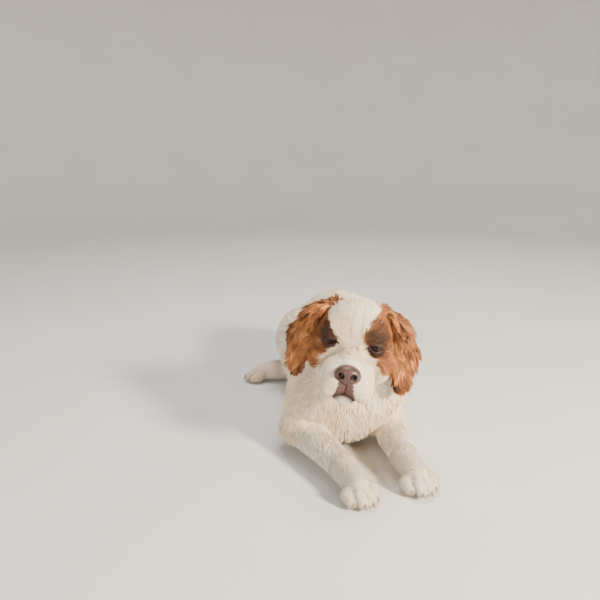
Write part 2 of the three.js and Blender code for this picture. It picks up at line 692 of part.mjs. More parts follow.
// Neck and torso take what is left. The ruff hangs round the neck in two tiers, and on the
// torso the coat falls down the breast and over the flanks.
const neckGrid = [ticks([-100, 116, 19]), ticks([-140, 60, 19]), ticks([30, 260, 19])];
const ruffRoots = [
  ...rootsRound([8, -46, 170], [8, -34, 146], 2, [-1, 0, 0], [-70, 60, 3], 60),
  ...rootsRound([8, -46, 170], [8, -34, 146], 2, [1, 0, 0], [-60, 70, 3], 60),
  ...rootsRound([8, -50, 128], [8, -50, 106], 2, [0, -1, 0], [-84, 84, 5], 60),
];
const ruff = locksAt(body, ruffRoots, RUFF_LOCK, ([x]) => [(x - 8) * 0.004, -0.12, -1]);
const neckShape = joined(solidOf(skinOf(body, neckGrid)), ...ruff);
claim('neck', neckShape, (extra) => beyond([6, -22, 148], [0, -0.62, 0.78], extra));

const breastRoots = rootsRound([4, -50, 74], [4, -50, 50], 2, [0, -1, 0], [-60, 60, 5], 60);
const flankRoots = sides.flatMap(([, { side }]) => (
  rootsRound([6, 70, 70], [8, 150, 70], 3, [side, 0, -0.4], [-20, 20, 1], 70)
));
const withersRoots = rootsRound([8, 20, 110], [8, 60, 104], 2, [0, 0, 1], [-40, 40, 2], 80);
const torsoLocks = [
  ...locksAt(body, breastRoots, RUFF_LOCK, () => [0, -0.1, -1]),
  ...locksAt(body, flankRoots, RUFF_LOCK, () => [0, 0.8, -0.8]),
  ...locksAt(body, withersRoots, RUFF_LOCK, () => [0, 1, -0.2]),
];
const trunkGrid = [ticks([-130, 140, 30]), ticks([-136, 376, 32]), ticks([-20, 210, 30])];
const torsoShape = joined(solidOf(skinOf(body, trunkGrid)), ...torsoLocks);
nodes.torso = gaps.reduce((solid, gap) => solid.subtract(gap), torsoShape);

// Wavy hair hangs from the ear's outer face, down and away from the cheek.
for (const [name, { side }] of sides) {
  const field = earField(side);
  const earGrid = gridRound([[side * 34, -34, 54], [side * 100, 34, -56]], 17, 10.5);
  const folds = [0.14, 0.36, 0.56, 0.76].map((t) => earFold.getPoint(t));
  const earRoots = folds.flatMap(({ x, y, z }) => {
    const fold = [side * x, -y, z];
    return rootsRound(fold, [fold[0], fold[1], z - 1], 1, [side, 0, 0], [-100, 100, 3], 16);
  });
  const earLocks = locksAt(field, earRoots, EAR_LOCK, () => [side * 0.4, 0.25, -1]);
  const ear = joined(solidOf(skinOf(field, earGrid)), ...earLocks).transform(headPlace.elements);
  nodes[`ear_${name}`] = ear.subtract(grown(nodes.head));
  nodes.neck = nodes.neck.subtract(grown(ear));
  nodes.torso = nodes.torso.subtract(grown(ear));
}

const saintBernard = new THREE.Group();
const aboveFloor = beyond([0, 0, 0], [0, 0, 1]);
for (const [name, solid] of Object.entries(nodes)) {
  const kept = largest(solid.intersect(aboveFloor));
  const finish = FINISHES[name.split('_')[0]] ?? CREAM;
  const material = new THREE.MeshStandardMaterial({ ...finish, metalness: 0 });
  const mesh = new THREE.Mesh(geometryOf(kept), material);
  mesh.name = name;
  saintBernard.add(mesh);
}

export default saintBernard;
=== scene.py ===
"""A Saint Bernard puppy of about nine weeks, lying on its belly with its head up.

The flesh and coat are shaped here in millimetres, in the frame of the solids: the puppy
faces -Y, +X is its left side and the floor is Z = 0. Meshes are made in metres.
"""
import math

import bmesh
import bpy
import numpy as np
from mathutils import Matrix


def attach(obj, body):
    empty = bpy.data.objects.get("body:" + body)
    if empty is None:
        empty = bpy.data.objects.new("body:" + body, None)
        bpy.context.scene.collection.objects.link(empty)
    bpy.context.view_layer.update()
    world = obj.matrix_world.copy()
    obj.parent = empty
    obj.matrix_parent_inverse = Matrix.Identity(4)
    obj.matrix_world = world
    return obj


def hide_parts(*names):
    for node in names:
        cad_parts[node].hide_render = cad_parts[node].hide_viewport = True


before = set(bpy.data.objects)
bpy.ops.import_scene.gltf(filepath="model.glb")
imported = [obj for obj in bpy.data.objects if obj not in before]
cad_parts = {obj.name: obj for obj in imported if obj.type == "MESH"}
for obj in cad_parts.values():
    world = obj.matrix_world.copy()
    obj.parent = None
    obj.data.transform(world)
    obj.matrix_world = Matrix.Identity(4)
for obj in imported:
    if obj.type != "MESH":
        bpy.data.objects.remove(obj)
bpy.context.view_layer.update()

import openvdb
from mathutils import Vector
from mathutils.kdtree import KDTree

MM = 0.001
rng = np.random.default_rng(7)

# Sizes, the same as in the solids, in millimetres and radians
CHEST_HALF = 80
BACK_HEIGHT = 186
SKULL_HALF = 55
EYE_HALF = 31
EYE_RADIUS = 9.5
MUZZLE_HALF = 38
NOSE_WIDTH = 34
NOSE_HEIGHT = 24
EAR_THICKNESS = 12
EAR_SPLAY = 0.8
EAR_CUP = 0.42
EAR_FRONT = 1.2
EAR_BACK = 1.4
FORELEG_RADIUS = 22
FOREPAW_WIDTH = 58
HIND_PAW_WIDTH = 50
TAIL_RADIUS = 20
SKULL_CENTRE = np.array([15.0, -84.0, 192.0])
HEAD_YAW, HEAD_ROLL, HEAD_PITCH = math.radians(-8), math.radians(8.4), math.radians(2)
LIP_SPLAY = math.radians(8)
LEGS = {
    "right": {
        "side": -1, "shoulder": (-46, -6, 102), "elbow": (-66, -52, 38), "wrist": (-5, -162, 27),
        "toes": (17, -212, 21), "aim": 24, "hip": (-42, 256, 100), "knee": (-54, 186, 58),
        "hock": (-64, 232, 26), "foot": (-116, 229, 22), "hind_toes": (-152, 226, 20), "hind_aim": -90,
    },
    "left": {
        "side": 1, "shoulder": (56, 0, 100), "elbow": (72, -30, 38), "wrist": (88, -132, 25),
        "toes": (102, -184, 21), "aim": 16, "hip": (52, 258, 98), "knee": (84, 172, 60),
        "hock": (84, 268, 24), "foot": (94, 218, 22), "hind_toes": (98, 184, 20), "hind_aim": 6,
    },
}
# The ear's fold from root to tip: out, ahead and up from the skull's centre, and half width
EAR_ROWS = np.array([
    (36, 0, 53, 9), (49, 2, 47, 11), (63, 5, 37, 13), (75, 8, 14, 17),
    (84, 9, -8, 24), (85, 12, -27, 23), (81, 17, -42, 15), (77, 21, -55, 8),
], float)
TAIL = np.array([(24, 318, 122), (24, 356, 100), (4, 384, 90), (-30, 388, 94), (-60, 370, 104)], float)

# The lids and the opening between them, which are finer here than in the solids
LID_THICKNESS = 2.2
SLIT_WIDE = 11.2
SLIT_HALF = 4.3
SLIT_TILT = 0.14

# The camera, as the photograph was taken: its place, how far it looks down, and its lens
CAMERA_PLACE = Vector((-65, -930, 470)) * MM
CAMERA_TILT = math.radians(14.5)
LENS = 36
SENSOR_WIDTH = 36


def turn_of(yaw=0.0, roll=0.0, pitch=0.0):
    cz, sz = math.cos(yaw), math.sin(yaw)
    cy, sy = math.cos(roll), math.sin(roll)
    cx, sx = math.cos(pitch), math.sin(pitch)
    about_z = np.array([[cz, -sz, 0], [sz, cz, 0], [0, 0, 1]])
    about_y = np.array([[cy, 0, sy], [0, 1, 0], [-sy, 0, cy]])
    about_x = np.array([[1, 0, 0], [0, cx, -sx], [0, sx, cx]])
    return about_z @ about_y @ about_x


HEAD_TURN = turn_of(HEAD_YAW, HEAD_ROLL, HEAD_PITCH)


def to_head(points):
    return (points - SKULL_CENTRE) @ HEAD_TURN


def from_head(points):
    return np.asarray(points, float) @ HEAD_TURN.T + SKULL_CENTRE


def norm(vectors):
    return np.linalg.norm(vectors, axis=-1)


def unit(vectors):
    return vectors / np.maximum(norm(vectors), 1e-9)[..., None]


def smooth(low, high, x):
    """0 up to the low end and 1 from the high end, with an eased rise between them."""
    t = np.clip((x - low) / (high - low), 0, 1)
    return t * t * (3 - 2 * t)


def bell(away, width):
    """1 on a line, and falling to 0 on both sides of it."""
    return np.exp(-(away / width)**2)


def waves(points, size, seed):
    """Smooth noise from -1 to 1, with swells about as long as the size."""
    random = np.random.default_rng(seed)
    total = 0
    for octave in range(6):
        direction = random.normal(size=3)
        direction *= (1 + 0.35 * octave) * 2 * math.pi / (size * np.linalg.norm(direction))
        total += np.sin(points @ direction + random.uniform(0, 6.28)) / (1 + 0.25 * octave)
    return np.clip(total / 2.2, -1, 1)


# Fields: how far each point is outside a form, and less than 0 inside it
def egg(centre, radii, turn=np.eye(3)):
    centre, radii = np.array(centre, float), np.array(radii, float)

    def field(p):
        q = (p - centre) @ turn
        k = norm(q / radii)
        return k * (k - 1) / np.maximum(norm(q / radii**2), 1e-9)
    return field


def limb(start, end, start_radius, end_radius):
    start, along = np.array(start, float), np.array(end, float) - np.array(start, float)

    def field(p):
        q = p - start
        t = np.clip(q @ along / (along @ along), 0, 1)
        radius = start_radius + (end_radius - start_radius) * t
        return norm(q - t[:, None] * along) - radius
    return field


def soft_min(a, b, k):
    h = np.maximum(k - np.abs(a - b), 0)
    return np.minimum(a, b) - h * h / (4 * k)


def soft_min_of(k, values):
    result = values[0]
    for value in values[1:]:
        result = soft_min(result, value, k)
    return result


def carve(value, hollow, k):
    return -soft_min(-value, hollow, k)


def blend(k, *fields):
    return lambda p: soft_min_of(k, [field(p) for field in fields])


def both(x, make):
    return [make(-x), make(x)]


# The head, in its own frame
crown = blend(22, egg((0, 8, 8), (SKULL_HALF, 58, 54)), egg((0, -14, 16), (46, 42, 41)))
skull = blend(
    14, crown,
    *both(24, lambda x: egg((x, -37, 21), (21, 15, 12))),
    *both(34, lambda x: egg((x, -12, -22), (30, 38, 34))),
)
muzzle = blend(
    9,
    limb((0, -40, -6), (0, -96, -12), 22, 15),
    *both(MUZZLE_HALF - 23, lambda x: egg((x, -74, -23), (22, 36, 22))),
    *both(MUZZLE_HALF - 18, lambda x: egg(
        (x, -80, -37), (18, 30, 22.5), turn_of(math.copysign(LIP_SPLAY, x)))),
    *both(9, lambda x: egg((x, -97, -30), (14, 15, 15))),
)
mouth_space = egg((0, -62, -72), (28, 60, 26))
sockets = both(EYE_HALF + 1, lambda x: egg((x, -64, 9), (15, 13, 11)))
jaw = blend(12, limb((0, -20, -44), (0, -80, -48), 28, 17), egg((0, -90, -48), (20, 15, 12)))


def upper_head(q):
    value = soft_min(skull(q), muzzle(q), 12)
    for hollow in [*sockets, mouth_space]:
        value = carve(value, hollow(q), 7)
    return value


def eye_centre(side):
    return np.array([side * EYE_HALF, -46.0, 10.0])


def ear(side):
    rows = EAR_ROWS[::-1]
    count = len(rows) - 1
    fine = np.linspace(0, count, 29)
    low = np.clip(fine.astype(int), 0, count - 1)
    t = (fine - low)[:, None]
    before, after = rows[np.maximum(low - 1, 0)], rows[np.minimum(low + 2, count)]
    a, b = rows[low], rows[low + 1]
    run = 0.5 * (2 * a + (b - before) * t + (2 * before - 5 * a + 4 * b - after) * t**2
                 + (3 * a - before - 3 * b + after) * t**3)

    def field(q):
        up = np.clip(q[:, 2], run[0, 2], run[-1, 2])
        fold = [np.interp(up, run[:, 2], run[:, n]) for n in (0, 1, 3)]
        out, ahead = side * q[:, 0] - fold[0], -q[:, 1] - fold[1]
        halves = []
        for edge in (-1, 1):
            angle = EAR_SPLAY + edge * EAR_CUP
            x, y = edge * math.cos(angle), -edge * math.sin(angle)
            width = fold[2] * (EAR_BACK if edge > 0 else EAR_FRONT) - EAR_THICKNESS / 2
            wide = np.clip(out * x + ahead * y, 0, width)
            halves.append(np.sqrt((out - wide * x)**2 + (ahead - wide * y)**2 + (q[:, 2] - up)**2))
        return soft_min(*halves, 6) - EAR_THICKNESS / 2
    return field


# Trunk and limbs
neck = blend(26, limb((10, -52, 172), (6, 20, 128), 54, 68), egg((14, -62, 104), (84, 44, 52)))
trunk = blend(
    36,
    egg((5, 72, 94), (CHEST_HALF, 138, 92)),
    egg((-4, -50, 72), (CHEST_HALF + 4, 50, 58)),
    egg((4, 30, 40), (62, 96, 44)),
    egg((10, 168, 96), (CHEST_HALF, 90, BACK_HEIGHT - 102)),
    egg((10, 256, 104), (CHEST_HALF + 2, 90, BACK_HEIGHT - 104)),
)


def ahead_of(aim):
    return np.array([math.sin(math.radians(aim)), -math.cos(math.radians(aim)), 0.0])


def digits_of(toes, aim, width):
    ahead = ahead_of(aim)
    across = np.array([-ahead[1], ahead[0], 0.0])
    radius = width * 0.2

    def place(side, reach, height):
        return np.array([*toes[:2], height]) + across * side + ahead * reach
    digits = []
    for spread in (-1, -0.35, 0.35, 1):
        x = spread * (width / 2 - radius)
        reach = 8 - 12 * spread**2
        height = radius * (1.08 - 0.06 * abs(spread))
        digits.append({
            "root": place(x * 0.72, -10, height * 1.5), "knuckle": place(x, reach, height * 1.25),
            "end": place(x * 1.04, reach + 10, height * 0.92), "radius": radius, "ahead": ahead,
        })
    return digits


def paw(wrist, toes, aim, width, foot_radius):
    fields = []
    for digit in digits_of(toes, aim, width):
        radius = digit["radius"]
        fields.append(blend(
            6,
            limb(digit["root"], digit["knuckle"], radius * 0.95, radius),
            limb(digit["knuckle"], digit["end"], radius, radius * 0.88),
        ))
    pad = np.array(toes, float) - 8 * ahead_of(aim)
    return blend(3, limb(wrist, pad, foot_radius, width * 0.34), *fields)


def thigh(leg):
    return blend(
        24,
        egg((leg["hip"][0] + leg["side"] * 16, 232, 90), (58, 76, 58)),
        limb(leg["hip"], leg["knee"], 52, 40),
        limb(leg["knee"], leg["hock"], 38, 24),
    )


tail_radii = np.linspace(TAIL_RADIUS, 0.75 * TAIL_RADIUS, len(TAIL))
tail = blend(10, *map(limb, TAIL[:-1], TAIL[1:], tail_radii[:-1], tail_radii[1:]))


def in_head(field):
    return lambda p: field(to_head(p))


FLESH = {
    "skull": in_head(skull), "head": in_head(upper_head), "jaw": in_head(jaw),
    "ear_left": in_head(ear(1)), "ear_right": in_head(ear(-1)),
    "neck": neck, "trunk": trunk, "tail": tail,
}
for name, leg in LEGS.items():
    FLESH[f"upper_arm_{name}"] = limb(leg["shoulder"], leg["elbow"], 38, 31)
    FLESH[f"forearm_{name}"] = limb(leg["elbow"], leg["wrist"], 30, FORELEG_RADIUS - 1)
    FLESH[f"forepaw_{name}"] = paw(leg["wrist"], leg["toes"], leg["aim"], FOREPAW_WIDTH, FORELEG_RADIUS)
    FLESH[f"thigh_{name}"] = thigh(leg)
    FLESH[f"hind_foot_{name}"] = blend(
        6, limb(leg["hock"], leg["foot"], 24, 21),
        paw(leg["foot"], leg["hind_toes"], leg["hind_aim"], HIND_PAW_WIDTH, 20),
    )

TOES_OF_PAWS = [
    toes for leg in LEGS.values() for toes in (
        digits_of(leg["toes"], leg["aim"], FOREPAW_WIDTH),
        digits_of(leg["hind_toes"], leg["hind_aim"], HIND_PAW_WIDTH),
    )
]

# How deep the skin lies under the outline of each part; skin_parts works out the head's
DEPTH = {
    "skull": 5, "head": 0, "jaw": 2, "ear": 2.2, "neck": 6, "trunk": 7, "tail": 6,
    "upper_arm": 6, "forearm": 4, "forepaw": 2.5, "thigh": 6.5, "hind_foot": 2.5,
}


def kind_of(part):
    return part.removesuffix("_left").removesuffix("_right")


def slit_middle(side):
    """The middle of the opening between the lids, from the eye's centre."""
    return np.array((side, -EYE_RADIUS, 0.4 + side * 0.8))


def slit(side):
    """The opening between the lids, tipped down a little at its outer corner."""
    centre = eye_centre(side) + slit_middle(side)
    return egg(centre, (SLIT_WIDE, 8.5, SLIT_HALF), turn_of(roll=side * SLIT_TILT))


slits = {side: slit(side) for side in (1, -1)}


def creases(q):
    """How strong the wrinkles of muzzle and forehead are, and the folds beside the muzzle."""
    x, y, z = q.T
    over_muzzle = smooth(30, 12, np.abs(x + 4)) * smooth(-30, -12, z)
    uneven = 3 * waves(q, 30, 41)
    wrinkles = 0
    for n, start in enumerate((-84, -77, -70, -63)):
        patchy = np.clip(0.65 + 0.5 * waves(q, 22, 42 + n), 0, 1)
        across = y - start + (x + 2)**2 * 0.016 + uneven
        wrinkles += patchy * over_muzzle * bell(across, 1.7)
    furrows = bell(x + 7 + 0.4 * uneven, 1.6) + bell(x - 8 + 0.5 * uneven, 1.6)
    forehead = smooth(20, 30, z) * smooth(60, 50, z) * smooth(-8, -20, y)
    wrinkles += 0.55 * furrows * forehead
    back = np.interp(z, (-50, -20, 2), (-44, -54, -66)) + uneven
    beside = smooth(16, 26, np.abs(x)) * smooth(6, -4, z) * smooth(-60, -50, z)
    return wrinkles, beside * bell(y - back, 4.5)


def from_mouth(q):
    """How far each place is from where jaw and upper head meet."""
    return np.maximum(jaw(q), upper_head(q))


def below_flews(q):
    """Where the neck lies close under the flews and the chin; the coat is painted in shade there."""
    _, y, z = q.T
    away = np.minimum(jaw(q), upper_head(q))
    return smooth(26, 9, away) * smooth(-1, 2, away) * smooth(-38, -50, z) * smooth(-30, -50, y)


def grooves(q):
    """How deep the wrinkles, the folds and the cleft of the lip are pressed into the face."""
    x, y, z = q.T
    wrinkles, folds = creases(q)
    depth = 2.0 * wrinkles + 3.0 * folds
    for side in (1, -1):
        away = q - eye_centre(side)
        reach, above = norm(away), smooth(0, 5, away[:, 2])
        lid_folds = 0.9 * above * bell(reach - 14.5, 1.3) + 0.5 * (1 - above) * bell(reach - 15.5, 1.5)
        depth += lid_folds * smooth(-36, -46, y)
    return depth + 1.4 * bell(x, 1.3) * smooth(-20, -26, z) * smooth(-90, -98, y)


def skin_parts(points):
    """How far each point is outside the skin of each part."""
    values = {part: field(points) + DEPTH[kind_of(part)] for part, field in FLESH.items()}
    # The coat deepens from the nose to the back of the skull, and is deeper still on the crown
    q = to_head(points)
    _, y, z = q.T
    on_crown = 2.6 * smooth(12, 36, z) * smooth(-48, 10, y)
    values["head"] += 1.6 + 4.0 * smooth(-48, 22, y) + on_crown + grooves(q)
    values["skull"] += on_crown
    for side in (1, -1):
        from_eye = norm(q - eye_centre(side))
        ball = from_eye - EYE_RADIUS - LID_THICKNESS
        lids = carve(soft_min(values["head"], ball, 5), slits[side](q), 1.2)
        values["head"] = np.where(from_eye < 30, lids, values["head"])
    return values


def skin_at(points):
    """The skin over the whole puppy."""
    v = skin_parts(points)
    body = soft_min_of(12, [soft_min_of(26, [v["trunk"], v["neck"], v["skull"]]), v["head"]])
    for side in LEGS:
        arm = soft_min(v[f"upper_arm_{side}"], v[f"forearm_{side}"], 12)
        body = soft_min(body, soft_min(arm, v[f"forepaw_{side}"], 6), 14)
        body = soft_min(body, soft_min(v[f"thigh_{side}"], v[f"hind_foot_{side}"], 12), 14)
    body = soft_min(body, v["tail"], 14)
    body = soft_min(body, v["jaw"], 3 + 8 * smooth(-66, -44, to_head(points)[:, 1]))
    body = soft_min_of(7, [body, v["ear_left"], v["ear_right"]])
    return np.maximum(body, 0.4 - points[:, 2])


def slope_of(field, points, reach):
    return np.stack([
        (field(points + step) - field(points - step)) / (2 * reach) for step in np.eye(3) * reach
    ], axis=1)


class Grid:
    """A field on an even grid, worked out only near its surface, and read between its points."""

    def __init__(self, field, low, high, step, block=4):
        self.low, self.step = np.array(low, float), step
        count = np.ceil((np.array(high) - self.low) / (step * block)).astype(int)
        blocks = np.array(list(np.ndindex(*count)))
        rough = field(self.low + (blocks + 0.5) * step * block - step / 2).reshape(count)
        self.values = np.kron(rough, np.ones((block, block, block))).astype(np.float32)
        near = np.argwhere(np.abs(self.values) < step * block * 1.3)
        for chunk in np.array_split(near, max(1, len(near) // 200000)):
            self.values[tuple(chunk.T)] = field(self.low + chunk * step)

    def __call__(self, points):
        place = np.clip((points - self.low) / self.step, 0, np.array(self.values.shape) - 1.001)
        cell = place.astype(int)
        part = place - cell
        total = 0
        for corner in np.ndindex(2, 2, 2):
            weight = np.prod(np.where(corner, part, 1 - part), axis=1)
            total += weight * self.values[tuple((cell + corner).T)]
        return total

    def outward(self, points):
        return unit(slope_of(self, points, self.step * 0.7))

    def surface(self):
        volume = openvdb.FloatGrid(float(np.abs(self.values).max()))
        volume.copyFromArray(self.values)
        points, _, quads = volume.convertToPolygons(isovalue=0.0, adaptivity=0.0)
        return points * self.step + self.low, quads


def placed(name, data):
    thing = bpy.data.objects.new(name, data)
    bpy.context.collection.objects.link(thing)
    return thing


def mesh_of(name, points, faces, material):
    mesh = bpy.data.meshes.new(name)
    points, faces = np.asarray(points, float), np.asarray(faces)
    mesh.vertices.add(len(points))
    mesh.vertices.foreach_set("co", (points * MM).ravel())
    mesh.loops.add(faces.size)
    mesh.loops.foreach_set("vertex_index", faces.ravel())
    mesh.polygons.add(len(faces))
    mesh.polygons.foreach_set("loop_start", np.arange(0, faces.size, faces.shape[1]))
    mesh.polygons.foreach_set("use_smooth", np.ones(len(faces), bool))
    mesh.update(calc_edges=True)
    mesh.validate()
    mesh.materials.append(material)
    return placed(name, mesh)


def paint(piece, colours, name="coat_colour"):
    layer = piece.data.color_attributes.new(name, "FLOAT_COLOR", "POINT")
    solid = np.ones((len(colours), 4), np.float32)
    solid[:, :3] = colours
    layer.data.foreach_set("color", solid.ravel())


# Colours of the coat and skin, from codes as screens use them
def shade(code):
    rgb = np.array([int(code[n:n + 2], 16) for n in (0, 2, 4)]) / 255
    return np.where(rgb < 0.04045, rgb / 12.92, ((rgb + 0.055) / 1.055) ** 2.4)


# Painted shade: the tint that darkens creases, folds, toe clefts and the flews' undersides
PAINTED_SHADE_TINT = np.array((0.62, 0.52, 0.44))
WHITE = shade("fdf3e2")
CREAM = shade("f2d8b2")
RUST = shade("bd7a45")
DARK_RUST = shade("6b3d22")
SABLE = shade("40291c")
LIP = shade("5e433d")
RIM = shade("2a1e1c")


def mix(a, b, share):
    share = np.asarray(share)[:, None]
    return a * (1 - share) + b * share


# Each face patch's inner edge, as heights and how far out it lies there
INNER_EDGES = {
    1: ((-32, -29, -14, -6, 3, 12, 21, 31, 41, 56), (52, 42, 36, 30, 21, 14, 8, 11, 17, 31)),
    -1: ((-44, -30, -14, -5, 3, 9, 16, 28, 37, 48), (47, 40, 37, 32, 22, 20, 18, 29, 38, 41)),
}
# Its lower edge, as distances out and how high it lies there
LOWER_EDGES = {
    1: ((20, 40, 54, 68), (-8, -26, -33, -50)),
    -1: ((20, 36, 42, 66), (-8, -32, -48, -56)),
}


def toe_clefts(points):
    """Where two toes meet, which is painted in shade."""
    clefts = 0
    for toes in TOES_OF_PAWS:
        away = [limb(toe["knuckle"], toe["end"], toe["radius"], toe["radius"])(points) for toe in toes]
        nearest, next_nearest = np.sort(np.stack(away), axis=0)[:2]
        clefts += bell(next_nearest - nearest, 1.5) * smooth(7, 3, nearest)
    return np.clip(clefts, 0, 1)


# Darkens a colour as painted shade, by the given share
def painted_shade(colour, share):
    return mix(colour, colour * PAINTED_SHADE_TINT, share)


def markings(points):
    """The colour of the coat at each place, with painted shade in creases, under the flews and between
    the toes.
    """
    q = to_head(points)
    x, y, z = q.T
    wobble = waves(points, 26, 3) * 2.5 + waves(points, 9, 4) * 1.5
    on_forelegs = smooth(-60, -120, points[:, 1]) * smooth(85, 55, points[:, 2])
    on_breast = smooth(10, -60, points[:, 1]) * smooth(170, 110, points[:, 2]) * (1 - on_forelegs)
    creamy = (0.45 + 0.35 * waves(points, 90, 5)) * (1 - 0.7 * on_forelegs) + 0.3 * on_breast
    colour = mix(WHITE, CREAM, np.clip(creamy, 0, 1))
    for side in (1, -1):
        out, ahead = side * x, -y
        inner = np.interp(z, *INNER_EDGES[side]) + wobble
        lower = np.interp(out, *LOWER_EDGES[side]) + wobble
        behind = -24 + 9 * waves(q, 40, 17) + 0.25 * (z - 10) + wobble
        head = smooth(-1, 4, out - inner) * smooth(-2, 5, z - lower) * smooth(-6, 2, ahead - behind)
        colour = mix(colour, mix(RUST, DARK_RUST, 0.4 + 0.4 * waves(points, 18, 8)), head)
        from_eye = q - eye_centre(side)
        eye = norm((from_eye - (-side, -4, 8)) * (0.95, 0.7, 0.8))
        dark = head * (1 - smooth(9, 31, eye + 2.2 * wobble))
        colour = mix(colour, SABLE, dark * 0.95)
        rim = norm((from_eye - (side, -9, 0)) * (0.55, 0.5, 1))
        colour = mix(colour, SABLE, 1 - smooth(5.5, 9, rim))
    # Painted shade in the wrinkles of muzzle and forehead and in the folds beside the muzzle
    wrinkles, folds = creases(q)
    colour = painted_shade(colour, np.clip(wrinkles + 0.8 * folds, 0, 1))
    # Painted shade on the undersides of the flews
    under = smooth(-38, -56, z) * smooth(-46, -56, y) * smooth(6, 1, upper_head(q))
    # Painted shadow on the neck under the flews and chin, and painted shade between the toes
    colour = painted_shade(colour, np.clip(below_flews(q) + 0.75 * toe_clefts(points), 0, 1))
    seam = smooth(6, 1.5, from_mouth(q)) * smooth(-20, -32, z)
    # The flews' painted shade, then the dark pigment of the lip edge along the mouth
    colour = mix(painted_shade(colour, 0.85 * under), LIP, 0.55 * seam)
    ears = np.minimum(FLESH["ear_left"](points), FLESH["ear_right"](points))
    on_ear = 1 - smooth(1, 6, ears)
    streak = 0.45 + 0.65 * waves(points * (1, 1, 0.35), 9, 6)
    tip = smooth(-22, -50, z) * 0.4 + smooth(82, 98, np.abs(x)) * 0.3
    front = smooth(-8, -18, y) * 0.35
    return mix(colour, mix(RUST, DARK_RUST, np.clip(streak + tip - front, 0, 1)), on_ear)


def bare(points):
    """How bare the skin is: on the lips under the nose, and inside the lids and mouth."""
    q = to_head(points)
    x, y, z = q.T
    half = np.interp(-z, (18, 24, 44), (11, 10.5, 14)) + waves(points, 5, 21)
    upper = smooth(0.5, -1.5, upper_head(q) - jaw(q))
    seam = from_mouth(q)
    lip = smooth(half + 1.5, half - 1.5, np.abs(x)) * smooth(-16, -22, z) * upper
    lip *= smooth(-88, -94, y)
    lip = np.maximum(lip, 0.75 * smooth(2.6, 1.0, seam) * smooth(-14, -24, z))
    lip = np.maximum(lip, 1 - smooth(0.5, 2.5, nose(q)))
    lids = sum(1 - smooth(1.0, 2.4, slits[side](q)) for side in (1, -1))
    mouth = 0.8 * smooth(1.2, 0.1, seam) * smooth(0, -20, z)
    return np.clip(lip, 0, 1), np.clip(np.maximum(lids, mouth), 0, 1)


nose = blend(
    4, egg((0, -106, -9.5), (NOSE_WIDTH / 2 - 1.5, 10, NOSE_HEIGHT * 0.38)),
    *both(NOSE_WIDTH * 0.27, lambda x: egg((x, -104.5, -14), (7.6, 9, 7.8))),
    egg((0, -106, -19), (NOSE_WIDTH * 0.26, 7.5, NOSE_HEIGHT * 0.35)),
)
nostrils = both(8.2, lambda x: egg(
    (x, -117, -12.5), (4.2, 9.5, 5.2), turn_of(roll=math.copysign(0.45, x))))
wing_slits = both(14, lambda x: egg(
    (x, -111, -17.5), (6, 6, 1.6), turn_of(roll=math.copysign(-0.2, x))))


def nose_leather(q):
    """The nose with its nostrils, the slits beside them and the line down its middle."""
    x, _, z = q.T
    value = nose(q)
    for nostril in nostrils:
        value = carve(value, nostril(q), 1.6)
    for wing_slit in wing_slits:
        value = carve(value, wing_slit(q), 1.2)
    return value + 0.8 * bell(x, 0.9) * smooth(-8, -14, z)


# Materials
class Value:
    """A node's output that takes arithmetic."""

    def __init__(self, finish, socket):
        self.finish, self.socket = finish, socket

    def math(self, operation, other):
        return self.finish.node("ShaderNodeMath", {"operation": operation}, {0: self, 1: other})

    def __add__(self, other):
        return self.math("ADD", other)

    def __mul__(self, other):
        return self.math("MULTIPLY", other)

    __radd__, __rmul__ = __add__, __mul__


class Finish:
    """A material with one shader, whose nodes are made from their kind, settings and inputs."""

    def __init__(self, name, constants):
        self.material = bpy.data.materials.new(name)
        self.material.use_nodes = True
        self.tree = self.material.node_tree
        self.inputs = self.tree.nodes["Principled BSDF"].inputs
        for socket, value in constants.items():
            self.inputs[socket].default_value = value

    def node(self, kind, settings, inputs, output=0):
        node = self.tree.nodes.new(kind)
        for key, value in settings.items():
            setattr(node, key, value)
        for key, value in inputs.items():
            self.feed(node.inputs[key], value)
        return Value(self, node.outputs[output])

    def feed(self, socket, value):
        if isinstance(value, Value):
            self.tree.links.new(value.socket, socket)
        else:
            socket.default_value = value

    def ramp(self, value, *stops):
        ramp = self.node("ShaderNodeValToRGB", {}, {0: value})
        elements = ramp.socket.node.color_ramp.elements
        for _ in stops[2:]:
            elements.new(0.5)
        for element, (place, colour) in zip(elements, stops):
            element.position = place
            element.color = (*colour, 1)
        return ramp

    def attribute(self, name):
        return self.node("ShaderNodeAttribute", {"attribute_name": name}, {}, "Color")

    def place(self):
        return self.node("ShaderNodeTexCoord", {}, {}, "Object")

    def uv(self, name):
        return self.node("ShaderNodeUVMap", {"uv_map": name}, {})

    def stretch(self, vector, amounts):
        return self.node("ShaderNodeVectorMath", {"operation": "MULTIPLY"}, {0: vector, 1: amounts})

    def noise(self, vector, scale, detail=3.0):
        inputs = {"Vector": vector, "Scale": scale, "Detail": detail}
        return self.node("ShaderNodeTexNoise", {}, inputs)

    def blend(self, share, a, b, blend_type="MIX"):
        settings = {"data_type": "RGBA", "blend_type": blend_type}
        return self.node("ShaderNodeMix", settings, {0: share, 6: a, 7: b}, 2)

    def between(self, share, dark, pale):
        return self.blend(share, rgba(shade(dark)), rgba(shade(pale)))

    def streaked(self, strength, grain, dark):
        """The painted colour of the coat, darker and paler along a grain."""
        streaks = self.blend(grain, rgba(dark), rgba((1.2, 1.2, 1.2)))
        self.colour(self.blend(strength, self.attribute("coat_colour"), streaks, "MULTIPLY"))

    def bump(self, height, distance, strength=1.0):
        inputs = {"Height": height, "Distance": distance, "Strength": strength}
        self.feed(self.inputs["Normal"], self.node("ShaderNodeBump", {}, inputs))

    def colour(self, value):
        self.feed(self.inputs["Base Color"], value)

    def roughness(self, value):
        self.feed(self.inputs["Roughness"], value)


def rgba(colour):
    return (*map(float, colour), 1.0)


